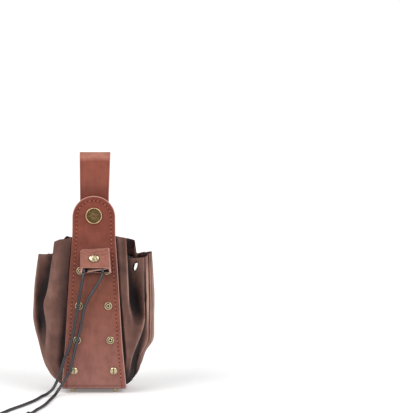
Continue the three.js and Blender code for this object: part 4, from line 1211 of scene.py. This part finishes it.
# ---- Stitches ----
def new_tree(name, sockets):
    """A node tree for a modifier: the tree, the function that adds its nodes, and its inputs
    by name."""
    tree = bpy.data.node_groups.new(name, "GeometryNodeTree")
    tree.interface.new_socket("Geometry", in_out="OUTPUT", socket_type="NodeSocketGeometry")
    for label, kind in {"Geometry": "Geometry", **sockets, "Material": "Material"}.items():
        tree.interface.new_socket(label, in_out="INPUT", socket_type="NodeSocket" + kind)
    return tree, partial(node, tree), tree.nodes.new("NodeGroupInput").outputs


def run_tree(context, name, base, tree, values):
    """Runs a tree on a mesh with its inputs set, and gives the plain mesh that it makes."""
    piece = new_object(base)
    modifier = piece.modifiers.new(tree.name, "NODES")
    modifier.node_group = tree
    for item in tree.interface.items_tree:
        if item.in_out == "INPUT" and item.name in values:
            modifier[item.identifier] = values[item.name]
    mesh = bpy.data.meshes.new_from_object(piece.evaluated_get(context.evaluated_depsgraph_get()))
    bpy.data.meshes.remove(base)
    mesh.name = name
    return mesh


def stitch_tree():
    """Lays stitches at an even pitch along a path."""
    tree, add, given = new_tree("stitch_row", {
        "Pitch": "Float", "Stitch Length": "Float", "Thread": "Float"})
    path = add("GeometryNode", "MeshToCurve", {"Mesh": given["Geometry"]})
    even = add("GeometryNode", "ResampleCurve", {"Curve": path, "Length": given["Pitch"]},
               mode="LENGTH")
    size = add("ShaderNode", "CombineXYZ", {"X": given["Thread"], "Y": given["Thread"],
                                            "Z": given["Stitch Length"]})
    turn = add("FunctionNode", "AlignRotationToVector",
               {"Vector": add("GeometryNode", "InputTangent")}, axis="Z")
    ball = add("GeometryNode", "MeshUVSphere", {"Segments": 8, "Rings": 6, "Radius": 0.5})
    sewn = add("GeometryNode", "InstanceOnPoints",
               {"Points": even, "Instance": ball, "Rotation": turn, "Scale": size})
    real = add("GeometryNode", "RealizeInstances", {"Geometry": sewn})
    smooth = add("GeometryNode", "SetShadeSmooth", {"Geometry": real})
    add("NodeGroup", "Output", {"Geometry": add(
        "GeometryNode", "SetMaterial", {"Geometry": smooth, "Material": given["Material"]})})
    return tree


HOLE_LONG, HOLE_WIDE = 0.36, 1.15  # a painted hole's shares of the pitch and of the thread


class POUCH_OT_stitches(PouchOperator):
    """Sews the rows of stitches inside the strip's edges"""

    bl_idname = "pouch.stitches"
    bl_label = "Stitches"

    def execute(self, context):
        sizes, tree = context.scene.pouch_sizes, stitch_tree()
        path = self.front_path(sizes.stitch_inset / MM)
        whole = runs(path)[-1]
        half = whole / int(whole / (sizes.stitch_pitch / MM)) / 2
        # Waxed linen thread, dyed with the leather and paler than it where it is rubbed.
        thread = plain_finish("waxed_thread", 1.5, 2.0, [(0.3, "#8C4B37"), (0.7, "#BB7452")],
                              {"Roughness": 0.55})
        # Dark marks for the awl holes: painted shade of holes that the strip's mesh doesn't have.
        hole_shade = plain_finish("needle_hole", 0.6, 2.0, [(0.3, "#3A1B15"), (0.7, "#572C22")],
                              {"Roughness": 0.9, "Specular IOR Level": 0.1})
        for name, points, material, long_, thick in (
                ("panel_stitches", path, thread, sizes.stitch_long, sizes.thread),
                ("needle_holes", cut_path(path, half, whole - half), hole_shade,
                 sizes.stitch_pitch * HOLE_LONG, sizes.thread * HOLE_WIDE)):
            base = smooth_mesh("path", points, edges=around(len(points))[:-1])
            add_piece(run_tree(context, name, base, tree, {
                "Pitch": sizes.stitch_pitch, "Stitch Length": long_, "Thread": thick,
                "Material": material}), material, "strap_leather")
        return {"FINISHED"}

    def front_path(self, inset):
        """Up the left edge, round the tab and down the right edge."""
        foot = front_profile.at_height(FRONT_FACE[-1][1] + 4)
        reach = TAB_HALF - inset
        edge, tab = [], []
        for s in np.arange(foot, TAB_HALF, -1.5):
            y, z = front_profile.place(s, SUNK)
            edge.append((between(STRIP_WIDTH, z) - inset, y, z))
        for angle in np.linspace(0, math.pi, 40):
            place = front_profile.place(TAB_HALF - reach * math.sin(angle), SUNK)
            tab.append((-reach * math.cos(angle), *place))
        return [(-x, y, z) for x, y, z in edge] + tab + edge[::-1]


# ---- Fasteners ----
# Rows of (radius, height over the leather, how dark with tarnish, and on the keeper rivet's
# cap also with painted shade) from the back to the crown.
TUBULAR_HEAD = [
    (3.5, 0.1, 0.7), (3.55, 0.35, 0.25), (3.45, 0.72, 0.0), (3.15, 0.95, 0.0), (2.8, 0.92, 0.2),
    (2.5, 0.7, 0.75), (2.25, 0.62, 0.95), (2.05, 0.72, 0.6), (1.85, 1.15, 0.0), (1.6, 1.42, 0.0),
    (1.3, 1.45, 0.0), (1.05, 1.3, 0.2), (0.85, 0.95, 0.8), (0.75, 0.5, 1.0), (0.0, 0.35, 1.0),
]
DOMED_HEAD = [
    (3.5, 0.1, 0.7), (3.56, 0.4, 0.2), (3.42, 0.85, 0.0), (3.1, 1.25, 0.0), (2.5, 1.62, 0.0),
    (1.7, 1.88, 0.05), (0.9, 2.0, 0.1), (0.0, 2.03, 0.1),
]
WASHER = [
    (3.0, 0.02, 0.6), (3.05, 0.35, 0.3), (2.85, 0.7, 0.1), (2.3, 0.86, 0.1), (1.5, 0.9, 0.4),
    (1.0, 0.7, 0.9), (0.0, 0.6, 1.0),
]
FOOT_HEAD = [
    (3.1, 0.1, 0.5), (3.15, 0.4, 0.3), (2.85, 1.0, 0.1), (2.4, 1.8, 0.0), (1.95, 2.7, 0.0),
    (1.6, 3.4, 0.0), (1.15, 3.85, 0.0), (0.6, 4.0, 0.0), (0.0, 4.0, 0.0),
]
# The keeper's rivet: its post over the panel, and its cap over the keeper's face.
KEEPER_POST = [(0.0, GAP, 0.6), (2.2, GAP, 0.6), (2.4, 0.6, 0.3), (2.4, 0.9, 0.5), (1.4, 1.0, 0.9)]
# Its outer edge is dark all round: tarnish, and painted shade of its outline.
KEEPER_CAP = [
    (1.4, -0.3, 1.0), (3.25, -0.2, 1.0), (3.42, 0.15, 1.0), (3.3, 0.6, 0.7), (2.9, 1.05, 0.0),
    (2.3, 1.35, 0.0), (1.8, 1.52, 0.0), (1.3, 1.63, 0.0), (0.8, 1.7, 0.0), (0.4, 1.72, 0.0),
    (0.0, 1.72, 0.0),
]
UNDER_TAB = -(STRIP_THICK + GAP)
SNAP_SOCKET = [
    (0.0, UNDER_TAB - 0.75, 0.7), (2.5, UNDER_TAB - 0.75, 0.7), (2.6, -5.6, 0.5),
    (4.3, -5.6, 0.2), (4.4, -5.4, 0.1), (4.4, -3.8, 0.2), (5.5, -3.7, 0.2),
    (5.6, UNDER_TAB, 0.5), (2.0, UNDER_TAB, 0.9), (2.0, GAP, 0.9),
]
# The cap's rim: here the first number is how far it is inside the cap's radius.
SNAP_RIM = [
    (0.35, 0.12, 0.7), (0.0, 0.45, 0.3), (0.02, 1.0, 0.0), (0.22, 1.45, 0.0), (0.55, 1.65, 0.0),
    (0.9, 1.5, 0.1), (1.05, 1.2, 1.0), (1.3, 1.06, 1.0), (1.7, 1.08, 0.8), (3.6, 1.26, 0.74),
    (5.5, 1.4, 0.7),
]
UNDER_LOOP = -(LOOP_THICK + GAP)
SNAP_STUD = [
    (0.0, UNDER_LOOP - 0.9, 0.1), (2.5, UNDER_LOOP - 0.88, 0.0), (4.2, UNDER_LOOP - 0.75, 0.0),
    (4.9, UNDER_LOOP - 0.45, 0.1), (5.0, UNDER_LOOP, 0.5), (1.6, UNDER_LOOP, 0.9),
    (1.6, GAP, 0.9), (5.1, GAP, 0.4), (5.2, GAP + 0.3, 0.1), (5.1, GAP + 0.6, 0.1),
    (2.0, GAP + 0.65, 0.5), (2.1, 2.0, 0.0), (1.7, 2.45, 0.0), (0.9, 2.6, 0.0), (0.0, 2.6, 0.0),
]
HEAD_SIDES, CAP_SIDES, SNAP_SIDES = 28, 36, 56
# The keeper rivet's cap: its slanting grooves, and how uneven it is hammered.
GROOVES = {"slant": (0.9, 0.42), "at": (-0.7, 1.05), "wide": 0.32, "dark": 0.6, "deep": 0.3}
HAMMERED, HAMMER_CLOSE = 0.55, (0.7, 0.6)
CAP_FROM = 0.4  # how far over the keeper's face both begin
# How dark the painted reflection on each lower rivet is.
REFLECTION_DARK = 0.7
REFLECTION_HALF, REFLECTION_LONG = 0.5, 3.1  # half width and half length of a lower rivet's painted dark reflection
GRIP = STRIP_THICK + SEAT + SUEDE_THICK + 0.4  # from a rivet's head to its washer


def rivet_tree():
    """Sets one head on each point, turned to the point's axis and spun by chance."""
    tree, add, given = new_tree("rivet_set", {"Head": "Object", "Turn": "Float", "Seed": "Int"})
    head = add("GeometryNode", "ObjectInfo", {"Object": given["Head"]}, out="Geometry")
    axis = add("GeometryNode", "InputNamedAttribute", {"Name": "axis"}, out="Attribute",
               data_type="FLOAT_VECTOR")
    turn = add("FunctionNode", "AlignRotationToVector", {"Vector": axis}, axis="Z")
    chance = add("FunctionNode", "RandomValue",
                 {"Seed": given["Seed"], "Min": 0.0, "Max": given["Turn"]})
    spin = add("FunctionNode", "AxisAngleToRotation", {"Angle": chance})
    both = add("FunctionNode", "RotateRotation", {"Rotation": turn, "Rotate By": spin},
               rotation_space="LOCAL")
    points = add("GeometryNode", "MeshToPoints", {"Mesh": given["Geometry"]})
    fixed = add("GeometryNode", "InstanceOnPoints",
                {"Points": points, "Instance": head, "Rotation": both})
    real = add("GeometryNode", "RealizeInstances", {"Geometry": fixed})
    add("NodeGroup", "Output", {"Geometry": add(
        "GeometryNode", "SetMaterial", {"Geometry": real, "Material": given["Material"]})})
    return tree


def rivet_places(names, profile, lift=0.0, below=0.0):
    """The place over the leather and the axis of each named rivet, from its CAD box."""
    made = []
    for name in names:
        low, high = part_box(name)
        x, y, z = (low + high) / 2 / MM
        s = profile.nearest(y, z)
        ny, nz = profile.normal(s) * (-1 if below else 1)
        made.append(((x, *profile.place(s, below - lift)), (0.0, ny, nz)))
    return made


class POUCH_OT_rivets(PouchOperator):
    """Sets the rivets, the foot rivets and the keeper's rivet"""

    bl_idname = "pouch.rivets"
    bl_label = "Rivets"

    def execute(self, context):
        colours, tree = context.scene.pouch_colours, rivet_tree()
        brass = antique_brass("antique_brass", colours.brass, colours.tarnish)
        front, back = ([f"rivet_{face}_{row}_{side}" for row in (1, 2, 3, 4)
                        for side in ("left", "right")] for face in ("front", "back"))
        feet = [f"foot_rivet_{end}_{side}" for end in ("front", "back")
                for side in ("left", "right")]
        inside = [place for names, profile in ((front, front_profile), (back, back_profile),
                                               (feet, strip_profile))
                  for place in rivet_places(names, profile, below=GRIP)]
        # The upper back rivets sit on the loop, and the others on the panel.
        on_back = (rivet_places(back[:4], back_profile, GAP + LOOP_THICK)
                   + rivet_places(back[4:], back_profile))
        for name, rows, places, replaced in (
                ("front_rivets", TUBULAR_HEAD, rivet_places(front[:6], front_profile), front[:6]),
                ("lower_rivets", DOMED_HEAD, rivet_places(front[6:], front_profile), front[6:]),
                ("back_rivets", DOMED_HEAD, on_back, back),
                ("foot_rivets", FOOT_HEAD, rivet_places(feet, strip_profile), feet),
                ("inner_washers", WASHER, inside, [])):
            with_reflection = name == "lower_rivets"
            head = new_object(self.head(rows, with_reflection))
            base = smooth_mesh("places", [place for place, _ in places])
            axes = base.attributes.new("axis", "FLOAT_VECTOR", "POINT")
            axes.data.foreach_set("vector", np.array([axis for _, axis in places],
                                                     np.float32).ravel())
            mesh = run_tree(context, name, base, tree, {
                "Head": head, "Turn": 0.0 if with_reflection else 2 * math.pi, "Seed": len(name),
                "Material": brass})
            bpy.data.objects.remove(head)
            add_piece(mesh, brass, "antique_brass", *replaced)
        add_piece(self.keeper_cap(), brass, "antique_brass", "keeper_rivet")
        return {"FINISHED"}

    def head(self, rows, with_reflection):
        """A head whose flat back closes on the axis, with a painted dark reflection across it if
        asked.
        """
        mesh = lathe("head", [(0.0, *rows[0][1:])] + rows, HEAD_SIDES)
        recess = mesh.attributes["recess"].data
        for vert in mesh.vertices if with_reflection else ():
            x, y, _ = vert.co / MM
            # The band is a painted dark reflection.
            if abs(x) < REFLECTION_HALF and abs(y) < REFLECTION_LONG:
                recess[vert.index].value = REFLECTION_DARK
        return mesh

    def keeper_cap(self):
        """An oval double cap, hammered a little uneven, with two dark grooves."""
        face = KEEPER["off"] + KEEPER["deep"]
        mesh = lathe("keeper_rivet_cap", KEEPER_POST + [
            (radius, face + height, dark) for radius, height, dark in KEEPER_CAP], CAP_SIDES)
        recess = mesh.attributes["recess"].data
        for vert in mesh.vertices:
            x, across, depth = vert.co / MM
            over = depth > face + CAP_FROM
            slant = x * GROOVES["slant"][0] + across * GROOVES["slant"][1]
            groove = over * sum(bump((slant - at, GROOVES["wide"])) for at in GROOVES["at"])
            recess[vert.index].value = min(1, recess[vert.index].value + GROOVES["dark"] * groove)
            uneven = noise.noise(Vector((x * HAMMER_CLOSE[0], across * HAMMER_CLOSE[1], 5.0)))
            dent = HAMMERED * uneven * over - GROOVES["deep"] * groove
            vert.co = Vector(keeper_point(
                KEEPER_RIVET["x"] + x * KEEPER_RIVET["stretch"], depth + dent,
                KEEPER_RIVET["along"] - across)) * MM
        return mesh


class POUCH_OT_snap(PouchOperator):
    """Makes the snap's cap and socket on the tab, and its stud on the loop"""

    bl_idname = "pouch.snap"
    bl_label = "Snap"

    def execute(self, context):
        brass = antique_brass("snap_brass", "#D8BC92", "#5F4B2E", roughness=0.4)
        rim = [(SNAP_RADIUS - inwards, height, recess) for inwards, height, recess in SNAP_RIM]
        tab_face = front_profile.point(front_profile.at_height(SNAP_Z))[0]
        for name, rows, depth, node_name in (
                ("snap_cap_rim", SNAP_SOCKET + rim + [(0.0, 1.46, 0.7)], tab_face, "snap_cap"),
                ("snap_stud_post", SNAP_STUD, LOOP_Y - LOOP_FOLD, "snap_stud")):
            mesh = lathe(name, rows, SNAP_SIDES)
            mesh.transform(Matrix.Translation(Vector((0.0, depth, SNAP_Z)) * MM)
                           @ Matrix.Rotation(math.pi / 2, 4, "X"))
            add_piece(mesh, brass, "antique_brass", node_name)
        return {"FINISHED"}


# ---- Panel and registration ----
class POUCH_PT_panel(bpy.types.Panel):
    """Lists the pouch's pieces in the sidebar"""

    bl_idname = "POUCH_PT_panel"
    bl_label = "Drawstring Belt Pouch"
    bl_space_type = "VIEW_3D"
    bl_region_type = "UI"
    bl_category = "Pouch"

    def draw(self, context):
        for step in STEPS:
            self.layout.operator(step.bl_idname)
        for group in (context.scene.pouch_sizes, context.scene.pouch_colours):
            box = self.layout.box()
            for name in group.__annotations__:
                box.prop(group, name)


STEPS = (POUCH_OT_stage, POUCH_OT_cords, POUCH_OT_bag, POUCH_OT_straps, POUCH_OT_keeper,
         POUCH_OT_stitches, POUCH_OT_rivets, POUCH_OT_snap)
CLASSES = (PouchSizes, PouchColours) + STEPS + (POUCH_PT_panel,)


def register():
    for cls in CLASSES:
        bpy.utils.register_class(cls)
    bpy.types.Scene.pouch_sizes = bpy.props.PointerProperty(type=PouchSizes)
    bpy.types.Scene.pouch_colours = bpy.props.PointerProperty(type=PouchColours)


def unregister():
    del bpy.types.Scene.pouch_colours
    del bpy.types.Scene.pouch_sizes
    for cls in reversed(CLASSES):
        bpy.utils.unregister_class(cls)


def main():
    register()
    for step in STEPS:
        group, name = step.bl_idname.split(".")
        getattr(getattr(bpy.ops, group), name)()


if __name__ == "__main__":
    main()
